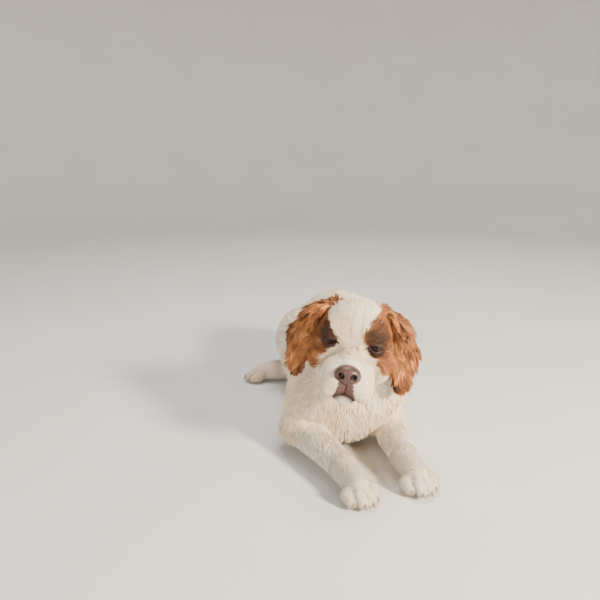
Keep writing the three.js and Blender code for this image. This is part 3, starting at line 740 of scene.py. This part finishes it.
def coat_finish():
    finish = Finish("soft_coat", {"Specular IOR Level": 0.3})
    hair = finish.noise(finish.stretch(finish.uv("strand"), (7, 0.7, 1)), 1.0, 2.0)
    finish.streaked(0.3, hair, (0.4, 0.37, 0.34))
    finish.roughness(0.55 + hair * 0.25)
    finish.bump(hair, 0.0003)
    return finish.material


def skin_finish():
    finish = Finish("skin_and_underfur", {"Specular IOR Level": 0.3})
    place = finish.place()
    fine = finish.noise(place, 900.0)
    broad = finish.noise(place, 120.0)
    finish.streaked(0.5, fine, (0.5, 0.47, 0.45))
    finish.roughness(0.55 + broad * 0.3)
    finish.bump(fine + broad * 0.6, 0.0008)
    return finish.material


def nose_finish():
    finish = Finish("nose_leather_finish", {"Coat Weight": 0.35, "Coat Roughness": 0.3})
    place = finish.place()
    pebbles = finish.node(
        "ShaderNodeTexVoronoi", {"feature": "SMOOTH_F1"}, {"Vector": place, "Scale": 900.0})
    broad = finish.noise(place, 130.0)
    leather = finish.between(broad, "2a1a16", "5c3b31")
    # The leather's colour, darkened by painted shade inside the nostrils
    finish.colour(finish.blend(1.0, leather, finish.attribute("nostril_painted_shade"), "MULTIPLY"))
    finish.roughness(0.38 + broad * 0.2)
    finish.bump(pebbles, 0.0005, 0.8)
    return finish.material


def eye_finish():
    finish = Finish("eye_glass", {"Roughness": 0.05, "Specular IOR Level": 0.3})
    uv = finish.uv("gaze")
    away = finish.node("ShaderNodeSeparateXYZ", {}, {0: uv}, "Y")
    fibres = finish.noise(finish.stretch(uv, (60, 3, 1)), 1.0)
    iris = finish.between(fibres, "35170d", "6d3a1f")
    pupil, limbus = (0, 0, 0), (0.05, 0.04, 0.04)
    rings = finish.ramp(
        away, (0.0, pupil), (0.17, pupil), (0.2, (1, 1, 1)), (0.38, (0.7, 0.7, 0.7)), (0.43, limbus))
    white = finish.ramp(away, (0.42, (0, 0, 0)), (0.47, (1, 1, 1)))
    ball = finish.blend(1.0, iris, rings, "MULTIPLY")
    finish.colour(finish.blend(white, ball, rgba(shade("6a4f46"))))
    return finish.material


def rim_finish():
    finish = Finish("lid_rim", {"Coat Weight": 0.2, "Coat Roughness": 0.2})
    damp = finish.noise(finish.place(), 700.0)
    finish.colour(finish.between(damp, "1d1312", "3c2724"))
    finish.roughness(0.3 + damp * 0.25)
    finish.bump(damp, 0.0002)
    return finish.material


def claw_finish():
    finish = Finish("claw_horn", {"Coat Weight": 0.3, "Coat Roughness": 0.25})
    horn = finish.noise(finish.place(), 260.0, 4.0)
    finish.colour(finish.between(horn, "6d5a4e", "b7a392"))
    finish.roughness(0.35 + horn * 0.2)
    finish.bump(horn, 0.0003)
    return finish.material


def whisker_finish():
    finish = Finish("whisker_hair", {"Roughness": 0.4})
    finish.colour(finish.between(finish.noise(finish.place(), 200.0, 2.0), "cfc4b6", "f4efe6"))
    return finish.material


def floor_finish():
    finish = Finish("pale_floor", {"Specular IOR Level": 0.2})
    cloud = finish.noise(finish.place(), 3.0, 5.0)
    grain = finish.noise(finish.place(), 300.0, 2.0)
    finish.colour(finish.blend(cloud, rgba((0.7, 0.69, 0.67)), rgba((0.78, 0.77, 0.75))))
    finish.roughness(0.75 + grain * 0.15)
    finish.bump(grain, 0.0003)
    return finish.material


COAT_FINISH = coat_finish()
SKIN_FINISH = skin_finish()

# The skin, from a grid round the whole puppy
SKIN_STEP = 2.6
skin_grid = Grid(skin_at, (-190, -256, -6), (150, 425, 275), SKIN_STEP)
skin_points, skin_quads = skin_grid.surface()
skin = mesh_of("skin", skin_points, skin_quads, SKIN_FINISH)


def refine(piece, chosen):
    """Cuts the faces that lie wholly in the chosen part into four."""
    mesh = bmesh.new()
    mesh.from_mesh(piece.data)
    inside = chosen(np.array([vertex.co for vertex in mesh.verts]) / MM)
    faces = [face for face in mesh.faces if all(inside[vertex.index] for vertex in face.verts)]
    edges = list({edge for face in faces for edge in face.edges})
    bmesh.ops.subdivide_edges(mesh, edges=edges, cuts=1, use_grid_fill=True)
    bmesh.ops.triangulate(mesh, faces=[face for face in mesh.faces if len(face.verts) > 4])
    mesh.to_mesh(piece.data)
    mesh.free()


def on_face(points):
    x, y, z = to_head(points).T
    return (y < -22) & (np.abs(x) < 58) & (np.abs(z + 15) < 62)


def on_details(points):
    q = to_head(points)
    _, y, z = q.T
    lids = np.minimum(*[norm(q - eye_centre(side) - (0, -8, 0)) for side in (1, -1)]) < 17
    lips = (y < -80) & (z < -18) & (z > -64)
    return on_face(points) & (lids | lips)


refine(skin, on_face)
refine(skin, on_details)


def read(items, key, width, kind=float):
    """One row of numbers for each vertex, loop or triangle."""
    values = np.empty(len(items) * width, kind)
    items.foreach_get(key, values)
    return values.reshape(-1, width)


def settle(points, field, rounds=3, most=1.2):
    """Moves the points onto the field's surface, no more than the most in each round."""
    for _ in range(rounds):
        slope = slope_of(field, points, 0.25)
        shift = slope * (field(points) / np.maximum((slope**2).sum(1), 0.3))[:, None]
        points = points - shift * np.minimum(1, most / np.maximum(norm(shift), 1e-6))[:, None]
    return points


places = read(skin.data.vertices, "co", 3) / MM
face = on_face(places)
places[face] = settle(places[face], skin_at)
skin.data.vertices.foreach_set("co", (places * MM).ravel())
skin.data.update()

# The skin seen between the tufts is darker than the coat, as painted shade
UNDERFUR_PAINTED_SHADE = 0.8
skin_tint = markings(places) * UNDERFUR_PAINTED_SHADE
lips, openings = bare(places)
skin_tint = mix(mix(skin_tint, LIP, lips), RIM, openings)
paint(skin, skin_tint)

bpy.ops.object.select_all(action="DESELECT")
bpy.context.view_layer.objects.active = skin
skin.select_set(True)
bpy.ops.object.mode_set(mode="EDIT")
bpy.ops.mesh.select_all(action="SELECT")
bpy.ops.uv.smart_project(angle_limit=math.radians(66), island_margin=0.002)
bpy.ops.object.mode_set(mode="OBJECT")
skin.data.uv_layers[0].name = "OFBake"

# Each part's tufts: length, width, rise in degrees, count on a square centimetre, and waviness
LENGTH, WIDTH, RISE, COUNT, WAVE = range(5)
COAT = {
    "skull": (14, 1.4, 15, 42, 0.22),
    "head": (7, 0.9, 14, 90, 0.15),
    "jaw": (6, 0.9, 14, 90, 0.15),
    "ear": (28, 1.35, 10, 45, 0.5),
    "neck": (25, 1.3, 17, 46, 0.25),
    "trunk": (22, 1.4, 15, 33, 0.22),
    "tail": (32, 1.5, 20, 44, 0.25),
    "upper_arm": (22, 1.4, 14, 34, 0.2),
    "forearm": (15, 1.25, 15, 40, 0.18),
    "forepaw": (6, 1.0, 14, 68, 0.18),
    "thigh": (21, 1.4, 15, 33, 0.2),
    "hind_foot": (6.5, 1.0, 14, 64, 0.18),
}
PARTS = list(FLESH)


def tail_way(points):
    middles = (TAIL[1:] + TAIL[:-1]) / 2
    weight = np.exp(-norm(points[:, None] - middles) / 14)
    return weight @ np.diff(TAIL, axis=0)


def lie_of(part, points, q):
    """Which way the coat lies on a part."""
    kind = kind_of(part)
    side = 1 if part.endswith("left") else -1
    leg = LEGS["left" if side > 0 else "right"]
    if kind in ("skull", "head"):
        way = unit(q - (0, -108, -6))
        way[:, 2] -= 0.35 * smooth(0, -30, q[:, 2])
        return way @ HEAD_TURN.T
    if kind == "ear":
        rear = smooth(-14, 22, q[:, 1])
        way = (side * 0.15, 0.15, -1) + np.outer(rear, (side * 0.2, 0.75, 0.25))
        return way @ HEAD_TURN.T
    if kind == "trunk":
        return np.outer(np.sign(points[:, 0] - 5), (0.25, 0, 0)) + (0, 1, -0.4)
    if kind == "tail":
        return tail_way(points)
    down_arm = unit(np.array(leg["wrist"], float) - leg["elbow"])
    same_all_over = {
        "jaw": HEAD_TURN @ (0, 1, -0.5), "neck": (0, 0.55, -0.85), "upper_arm": (0, 0.35, -1),
        "forearm": down_arm + (side * 0.35, 0.25, -0.3), "forepaw": ahead_of(leg["aim"]) + (0, 0, -0.25),
        "thigh": (side * 0.1, 0.75, -0.75), "hind_foot": ahead_of(leg["hind_aim"]) + (0, 0, -0.25),
    }
    return np.ones((len(points), 1)) * same_all_over[kind]


def numbers_of(*kinds):
    return [n for n, part in enumerate(PARTS) if kind_of(part) in kinds]


def coat_at(points, normals):
    """The coat's lie and sizes at each root, shared among the parts near it, and the nearest part."""
    values = skin_parts(points)
    away = np.stack([values[part] for part in PARTS], axis=1)
    weight = np.exp(-(away - away.min(1)[:, None]) / 7)
    weight /= weight.sum(1)[:, None]
    on_head, on_ear, on_tail = [
        weight[:, numbers_of(*kinds)].sum(1) for kinds in (("skull", "head"), ("ear",), ("tail",))
    ]
    q = to_head(points)
    _, y, z = q.T
    lie = sum(weight[:, n:n + 1] * unit(lie_of(part, points, q)) for n, part in enumerate(PARTS))
    sizes = weight @ np.array([COAT[kind_of(part)] for part in PARTS])
    # From the nose to the back of the skull the coat grows longer, wider and less dense
    back = smooth(-96, 0, y)
    short = np.stack([
        4.2 + 10 * back**2, 0.75 + 0.7 * back, 15 + 3 * back, 115 - 74 * back, 0.15 + 0.15 * back,
    ], axis=1)
    sizes = mix(sizes, short, on_head)
    sway = [waves(points, 34, seed) + 0.5 * waves(points, 12, seed + 9) for seed in (31, 32, 33)]
    lie = unit(lie) + np.stack(sway, axis=1) * sizes[:, WAVE:]
    off = (lie * normals).sum(1)
    lie = unit(lie - normals * off[:, None])
    # The tail's coat also rises with the outward part of its lie, and lies flatter near the tip
    sizes[:, RISE] *= 1 - 0.85 * smooth(55, 20, norm(points - TAIL[-1]))
    raised = np.degrees(np.arcsin(np.clip(off, 0, 0.9))) * 0.9
    sizes[:, RISE] = np.maximum(sizes[:, RISE], raised * on_tail)
    # It is shorter beside the mouth, under the flews, and at the tip and the root of each ear
    seam = 1 - smooth(1, 11, from_mouth(q))
    sizes[:, LENGTH] *= 1 - 0.55 * seam * smooth(0, -20, z)
    sizes[:, LENGTH] *= 1 - 0.45 * below_flews(q)
    sizes[:, LENGTH] *= 1 - 0.5 * on_ear * (smooth(-34, -58, z) + smooth(38, 52, z))
    return lie, sizes, away.argmin(1)


mesh = skin.data
mesh.calc_loop_triangles()
corners = read(mesh.loop_triangles, "vertices", 3, int)
loops = read(mesh.loop_triangles, "loops", 3, int)
places = read(mesh.vertices, "co", 3) / MM
normals = skin_grid.outward(places)
uvs = read(mesh.uv_layers["OFBake"].data, "uv", 2)

# How many tufts grow on each triangle, with none close to the floor or where the skin is bare
SQUARE_CM = 100
LOWEST_ROOT = 1.6
a, b, c = places[corners[:, 0]], places[corners[:, 1]], places[corners[:, 2]]
across = np.cross(b - a, c - a)
area = norm(across) / 2 / SQUARE_CM
middle = (a + b + c) / 3
_, sizes, _ = coat_at(middle, unit(across))
hidden = (middle[:, 2] < LOWEST_ROOT) | (np.maximum(*bare(middle)) > 0.5)
wanted = np.where(hidden, 0, area * sizes[:, COUNT])
total = int(wanted.sum())
drawn = np.searchsorted(np.cumsum(wanted), (np.arange(total) + rng.random(total)) / total * wanted.sum())
drawn = np.minimum(drawn, len(wanted) - 1)
split = rng.dirichlet((1, 1, 1), total)


def spread(values, index):
    """The value at each root, from those at the corners of its triangle."""
    return (values[index[drawn]] * split[:, :, None]).sum(1)


roots = spread(places, corners)
outward = unit(spread(normals, corners))
root_uvs = spread(uvs, loops)
lie, sizes, home = coat_at(roots, outward)
behind_eyes = to_head(roots)[:, 1] > -14
home[(home == PARTS.index("head")) & behind_eyes] = PARTS.index("skull")
length = sizes[:, LENGTH] * rng.uniform(0.75, 1.2, total)
width = sizes[:, WIDTH] * rng.uniform(0.75, 1.3, total)
rise = np.radians(sizes[:, RISE]) * rng.uniform(0.6, 1.4, total)

# Each tuft grows in steps over the skin and the floor, and the ears' tufts swing from side to side
STEPS = 3
ROOT_DEPTH = 1.2
LOWEST_TUFT = 0.7
BENDS = (-1.0, 1.6, 0.0)
ears = np.isin(home, numbers_of("ear")).astype(float)
swing = np.cross(lie, outward) * (0.4 * ears * waves(roots, 18, 77))[:, None]
path = [roots - outward * ROOT_DEPTH]
way = lie * np.cos(rise)[:, None] + outward * np.sin(rise)[:, None]
for n, bend in enumerate(BENDS, 1):
    ahead = path[-1] + way * (length / STEPS)[:, None]
    slope = skin_grid.outward(ahead)
    height = skin_grid(ahead)
    ahead += slope * np.clip(0.35 * n - height, 0, 3)[:, None]
    ahead[:, 2] = np.maximum(ahead[:, 2], LOWEST_TUFT)
    way = unit(way - slope * 0.12 * (height > 1)[:, None] + (0, 0, -0.05) + swing * bend)
    path.append(ahead)
path = np.stack(path, axis=1)

# Neighbours lean together into clumps towards their tips
CLUMP = 14
tree = KDTree(total // CLUMP)
leaders = np.arange(0, total, CLUMP)[:total // CLUMP]
for n, leader in enumerate(leaders):
    tree.insert(roots[leader], n)
tree.balance()
leader = leaders[[tree.find(root)[1] for root in roots]]
clump_shade = rng.normal(0, 0.6, total)[leader]
near = norm(roots - roots[leader]) < 0.5 * length
pull = np.array([0, 0.08, 0.22, 0.38])[:, None] * (near * (1 + 0.6 * ears))[:, None, None]
path += pull * (path[leader] - path) * 0.9

# No tuft is stretched by all this, or stands far out of the coat
for n in range(1, STEPS + 1):
    from_root = path[:, n] - path[:, 0]
    furthest = 1.2 + 1.05 * length * n / STEPS
    path[:, n] = path[:, 0] + from_root * np.minimum(furthest / norm(from_root), 1)[:, None]
too_high = np.maximum(skin_at(path[:, -1]) / (1.0 + 0.4 * length), 1)
path = path[:, :1] + (path - path[:, :1]) / too_high[:, None, None]


def ring_steps(rings, turns):
    """The numbers of each point and the next round it, for every ring but the last."""
    for ring in range(rings - 1):
        for n in range(turns):
            yield ring * turns + n, ring * turns + (n + 1) % turns


# How much a clump's tone counts in tufts of one, two or three steps, and the painted shade that darkens
# their roots
CLUMP_CONTRAST = {1: 0.18, 2: 0.42, 3: 0.42}
ROOT_PAINTED_SHADE = {1: 0.9, 2: 0.82, 3: 0.82}
BAKE_SIZE = 0.0015


def to_tip(sides, tip):
    """The corners of every ring but the last, and then the tip."""
    rings = np.stack(sides, axis=2)[:, :-1]
    return np.concatenate([rings.reshape(len(tip), -1, 3), tip[:, -1:]], axis=1)


def tufts(name, chosen, steps):
    """A closed three-sided taper along the root and last steps of each chosen path, in one mesh."""
    use = path[chosen][:, [0, *range(STEPS + 1 - steps, STEPS + 1)]]
    count = len(use)
    along = np.linspace(0, 1, steps + 1)
    shape = np.interp(along, (0, 0.35, 0.7, 1), (0.7 if steps > 1 else 1.0, 1.0, 0.72, 0))
    run = np.diff(use, axis=1)
    run = unit(np.concatenate([run, run[:, -1:]], axis=1))
    across = unit(np.cross(run, outward[chosen][:, None]))
    up = np.cross(across, run)
    half = width[chosen][:, None, None] * shape[:, None] / 2
    points = to_tip((use - across * half, use + across * half, use + up * half * 0.75), use)
    tip = 3 * steps
    faces, under = [(0, 1, 2)], [True]
    for i, j in ring_steps(steps, 3):
        faces += [(i, i + 3, j), (j, i + 3, j + 3)]
        under += [i % 3 == 0] * 2
    faces += [(tip - 3 + n, tip, tip - 3 + (n + 1) % 3) for n in range(3)]
    under += [True, False, False]
    # The upper faces are lit like the coat that they lie in, so that the tufts blend into it
    ring_out = to_tip((-across * 0.7, across * 0.7, 0 * across), 0 * up)
    ring_up = to_tip((up, up, up), up)
    corner = np.array(faces).ravel()
    facing = np.repeat(np.where(under, -1.0, 1.0), 3)
    soft = ring_out[:, corner] + ring_up[:, corner] * facing[:, None]
    faces = (np.array(faces) + np.arange(count)[:, None, None] * (tip + 1)).reshape(-1, 3)
    piece = mesh_of(name, points.reshape(-1, 3), faces, COAT_FINISH)
    piece.data.normals_split_custom_set(unit(soft.reshape(-1, 3)))
    # The brown coat varies more in tone than the white; painted shade darkens the roots, the brown's
    # more, and a painted highlight lightens the tips
    tint = markings(roots[chosen])
    vivid = 0.3 + 0.7 * smooth(0.55, 0.8, 1 - tint[:, 2] / tint[:, 0])
    clumped = 0.6 if "ear" in name else CLUMP_CONTRAST[steps]
    varied = clumped * clump_shade[chosen] + rng.uniform(-0.22, 0.14, count)
    tint *= (1 + vivid * varied)[:, None]
    tint *= 1 + 0.06 * rng.normal(size=(count, 1)) * np.array([0.3, 0.7, 1.2])
    reach = np.append(np.repeat(along[:-1], 3), 1)
    # Painted shade at each tuft's root, fading to a painted highlight at its tip
    root_painted_shade = 0.94 if name == "coat_tail" else ROOT_PAINTED_SHADE[steps]
    painted_light_and_shade = np.interp(reach, (0, 0.4, 1), (root_painted_shade, 0.98, 1.04))
    painted_light_and_shade = painted_light_and_shade - 0.42 * (vivid[:, None] - 0.3) * (1 - reach)
    paint(piece, np.clip(tint[:, None] * painted_light_and_shade[:, :, None], 0, 1).reshape(-1, 3))
    strand = np.array([(side, t) for t in along[:-1] for side in (0, 1, 0.5)] + [(0.5, 1)])
    bake = BAKE_SIZE * (2 * strand - 1)
    bake[2:-1:3, 1] += 0.0008
    bake = root_uvs[chosen][:, None] + bake
    strand = strand + rng.uniform(0, 40, (count, 1, 2))
    for layer, at in (("OFBake", bake), ("strand", strand)):
        uv_layer = piece.data.uv_layers.new(name=layer)
        uv_layer.data.foreach_set("uv", at.reshape(-1, 2)[faces.ravel()].ravel())
    return piece


# Each piece of the coat: the parts that it covers, and the steps of its tufts
GROUPS = {
    "coat_face": ("head jaw", 1), "coat_crown": ("skull", 2), "coat_neck": ("neck", 2),
    "coat_tail": ("tail", 3), "coat_ear_left": ("ear_left", 3), "coat_ear_right": ("ear_right", 3),
    "coat_body": ("trunk", 2),
    "coat_paws": ("forepaw_left forepaw_right hind_foot_left hind_foot_right", 1),
    "coat_foreleg_left": ("upper_arm_left forearm_left", 2),
    "coat_foreleg_right": ("upper_arm_right forearm_right", 2),
    "coat_haunch_left": ("thigh_left", 2), "coat_haunch_right": ("thigh_right", 2),
}
MOST_FACES = 195000
coat = []
for name, (parts, steps) in GROUPS.items():
    chosen = np.flatnonzero(np.isin(home, [PARTS.index(part) for part in parts.split()]))
    shares = math.ceil(len(chosen) * (6 * steps - 2) / MOST_FACES)
    chosen = chosen[np.argsort(roots[chosen, 1], kind="stable")]
    for n, share in enumerate(np.array_split(chosen, shares)):
        coat.append(tufts(name if shares == 1 else f"{name}_{n + 1}", share, steps))


def ring_of(turns, sideways, above):
    """Even steps round a circle set out by two directions."""
    around = np.linspace(0, 2 * math.pi, turns, endpoint=False)
    return np.cos(around)[:, None] * sideways + np.sin(around)[:, None] * above


# Eyes that look a little below and outside the camera, with a bulge over the iris
EYE_FINISH = eye_finish()
EYE_BULGE = 0.8
EYE_RINGS, EYE_TURNS = 40, 48


def eyeball(side):
    centre = from_head(eye_centre(side))
    ahead = unit(np.array(CAMERA_PLACE) / MM - centre + (side * 60, 0, -120))
    sideways = unit(np.cross(ahead, (0, 0, 1)))
    ring = ring_of(EYE_TURNS, sideways, np.cross(sideways, ahead))
    polar = np.linspace(0, math.pi, EYE_RINGS + 1)
    radii = EYE_RADIUS + EYE_BULGE * np.clip(1 - (polar / 0.62)**2, 0, 1)**2
    points = [centre + ahead * radii[0]]
    for angle, radius in zip(polar[1:-1], radii[1:-1]):
        points.extend(centre + radius * (math.cos(angle) * ahead + math.sin(angle) * ring))
    points.append(centre - ahead * radii[-1])
    # The corners of the faces as rows down from the front pole and columns round it
    corners = [((0, n), (1, n + 1), (1, n)) for n in range(EYE_TURNS)]
    for row in range(1, EYE_RINGS - 1):
        for n in range(EYE_TURNS):
            start, end = (row, n), (row + 1, n + 1)
            corners += [(start, (row, n + 1), end), (start, end, (row + 1, n))]
    corners += [((EYE_RINGS - 1, n), (EYE_RINGS - 1, n + 1), (EYE_RINGS, n)) for n in range(EYE_TURNS)]
    row, column = np.moveaxis(np.array(corners), 2, 0)
    faces = np.clip(1 + (row - 1) * EYE_TURNS + column % EYE_TURNS, 0, len(points) - 1)
    piece = mesh_of("eyeball_left" if side > 0 else "eyeball_right", points, faces, EYE_FINISH)
    layer = piece.data.uv_layers.new(name="gaze")
    layer.data.foreach_set("uv", np.stack([column / EYE_TURNS, row / EYE_RINGS], axis=2).ravel())
    return piece


eyes = [eyeball(1), eyeball(-1)]

# The nose
nose_middle = from_head((0, -107, -13))
nose_grid = Grid(in_head(nose_leather), nose_middle - 30, nose_middle + 30, 0.8)
nose_points, nose_quads = nose_grid.surface()
nose_piece = mesh_of("nose_pad", nose_points, nose_quads, nose_finish())
# Painted shade inside the nostrils
inside = 1 - smooth(0, 1.1, np.minimum(*[nostril(to_head(nose_points)) for nostril in nostrils]))
paint(nose_piece, np.repeat(1 - 0.93 * inside[:, None], 3, axis=1), "nostril_painted_shade")


def taper_tube(points, radii, turns=8):
    """Points and faces of a closed tube along a line."""
    run = unit(np.gradient(points, axis=0))
    side = unit(np.cross(run, (0.12, 0.31, 0.94)))
    ring = ring_of(turns, side[:, None], np.cross(side, run)[:, None])
    body = (points[:, None] + ring * radii[:, None, None]).reshape(-1, 3)
    body = np.concatenate([body, points[:1], points[-1:]])
    faces = []
    for i, j in ring_steps(len(points), turns):
        faces += [(i, i + turns, j), (j, i + turns, j + turns)]
    first, last, end = len(body) - 2, len(body) - 1, len(body) - 2 - turns
    for i, j in ring_steps(2, turns):
        faces += [(first, i, j), (last, end + j, end + i)]
    return body, np.array(faces)


def joined(name, parts, material):
    points, faces = zip(*parts)
    starts = np.cumsum([0, *map(len, points)])
    faces = [part_faces + start for part_faces, start in zip(faces, starts)]
    return mesh_of(name, np.concatenate(points), np.concatenate(faces), material)


# Claws, each a tube that bends down towards its tip
CLAW_LENGTH = 6.8
CLAW_DROP = np.array((0, 0, 4.6))
claw_parts = []
for toe in [toe for toes in TOES_OF_PAWS for toe in toes]:
    start = toe["end"] + toe["ahead"] * toe["radius"] * 0.45 + (0, 0, 1.0)
    along = np.linspace(0, 1, 6)[:, None]
    curve = start + toe["ahead"] * CLAW_LENGTH * along - CLAW_DROP * along**2
    claw_parts.append(taper_tube(curve, np.interp(along[:, 0], (0, 0.6, 1), (2.5, 2.0, 0.9))))
claws = joined("claws", claw_parts, claw_finish())

# Lid rims, each a thin tube along the slit's edge, on a ball a little larger than the eye
RIM_RADIUS = 0.75
rim_parts = []
for side in (1, -1):
    edge = ring_of(48, np.array((SLIT_WIDE, 0, 0)), np.array((0, 0, SLIT_HALF)))
    away = unit(edge @ turn_of(roll=side * SLIT_TILT).T + slit_middle(side)) * (EYE_RADIUS + 1.5)
    edge = from_head(eye_centre(side) + away)
    edge = np.concatenate([edge, edge[:2]])
    rim_parts.append(taper_tube(edge, np.full(len(edge), RIM_RADIUS), 6))
rims = joined("lid_rims", rim_parts, rim_finish())

# Whiskers: thin bent hairs in rows on the sides of the muzzle
WHISKER_BEND = np.array((0, 0.16, -0.22))
whisker_parts = []
for side in (1, -1):
    for row, up in enumerate((-22, -29, -36)):
        for n in range(4):
            start = np.array([[side * 40, -92 + 8 * n + 3 * row, up]])
            start = to_head(settle(from_head(start), skin_at, rounds=6, most=8))
            size = rng.uniform(20, 34)
            along = np.linspace(-0.04, 1, 6)[:, None]
            way = unit(np.array([[side * 0.85, -0.1 + 0.22 * n, -0.25 - 0.15 * row]]))
            curve = start + way * size * along + WHISKER_BEND * size * along**2
            whisker_parts.append(taper_tube(from_head(curve), np.linspace(0.3, 0.08, 6), 4))
whiskers = joined("whiskers", whisker_parts, whisker_finish())

# Which parts of the solids are hidden, and what each piece rides on
HARD = ("nose", "eye_left", "eye_right")
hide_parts(*[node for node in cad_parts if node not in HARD])
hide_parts("nose")
for eye, side in zip(eyes, ("left", "right")):
    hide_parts(f"eye_{side}")
for piece in [skin, nose_piece, claws, rims, whiskers, *eyes, *coat]:
    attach(piece, "root")
for piece in [skin, whiskers, *coat]:
    "ear_coat" if "ear" in piece.name else "coat"

# The floor, a wide bowl whose profile is given in metres
FLOOR_TURNS = 96
FLOOR_PROFILE = (
    (0.001, 0), (0.5, 0), (1.2, 0), (2.6, 0), (3.2, 0.12), (3.7, 0.5), (4, 1.1), (4.1, 2.2), (4.1, 3.4),
)
ring = ring_of(FLOOR_TURNS, *np.eye(3)[:2])
floor_points = np.concatenate([ring * radius + (0, 0, height) for radius, height in FLOOR_PROFILE]) / MM
floor_faces = [
    (i, i + FLOOR_TURNS, j + FLOOR_TURNS, j) for i, j in ring_steps(len(FLOOR_PROFILE), FLOOR_TURNS)
]
floor = mesh_of("studio_floor", floor_points, floor_faces, floor_finish())

# Light, with its places in metres, and the camera
LIT_PLACE = Vector((0, 0.02, 0.1))


def soft_light(name, place, size, power, colour):
    lamp = bpy.data.lights.new(name, "AREA")
    lamp.shape, lamp.size, lamp.energy, lamp.color = "DISK", size, power, colour
    light = placed(name, lamp)
    light.location = place
    light.rotation_euler = (LIT_PLACE - Vector(place)).to_track_quat("-Z", "Y").to_euler()


soft_light("key_light", (1.6, -1.5, 1.15), 0.4, 160, (1.0, 0.86, 0.68))
soft_light("eye_light", (-0.5, -1.9, 0.75), 0.2, 9, (1.0, 0.95, 0.88))
soft_light("fill_light", (-1.8, -1.2, 1.0), 1.4, 11, (0.9, 0.95, 1.0))
soft_light("top_light", (0.1, 0.5, 2.2), 1.3, 42, (1.0, 0.97, 0.93))
world = bpy.context.scene.world = bpy.data.worlds.new("studio")
world.use_nodes = True
background = world.node_tree.nodes["Background"]
background.inputs["Color"].default_value = (0.75, 0.8, 0.88, 1)
background.inputs["Strength"].default_value = 0.28

camera = bpy.context.scene.camera = placed("camera", bpy.data.cameras.new("camera"))
camera.data.lens, camera.data.sensor_width, camera.data.clip_start = LENS, SENSOR_WIDTH, 0.01
camera.location = CAMERA_PLACE
camera.rotation_euler = (math.pi / 2 - CAMERA_TILT, 0, 0)
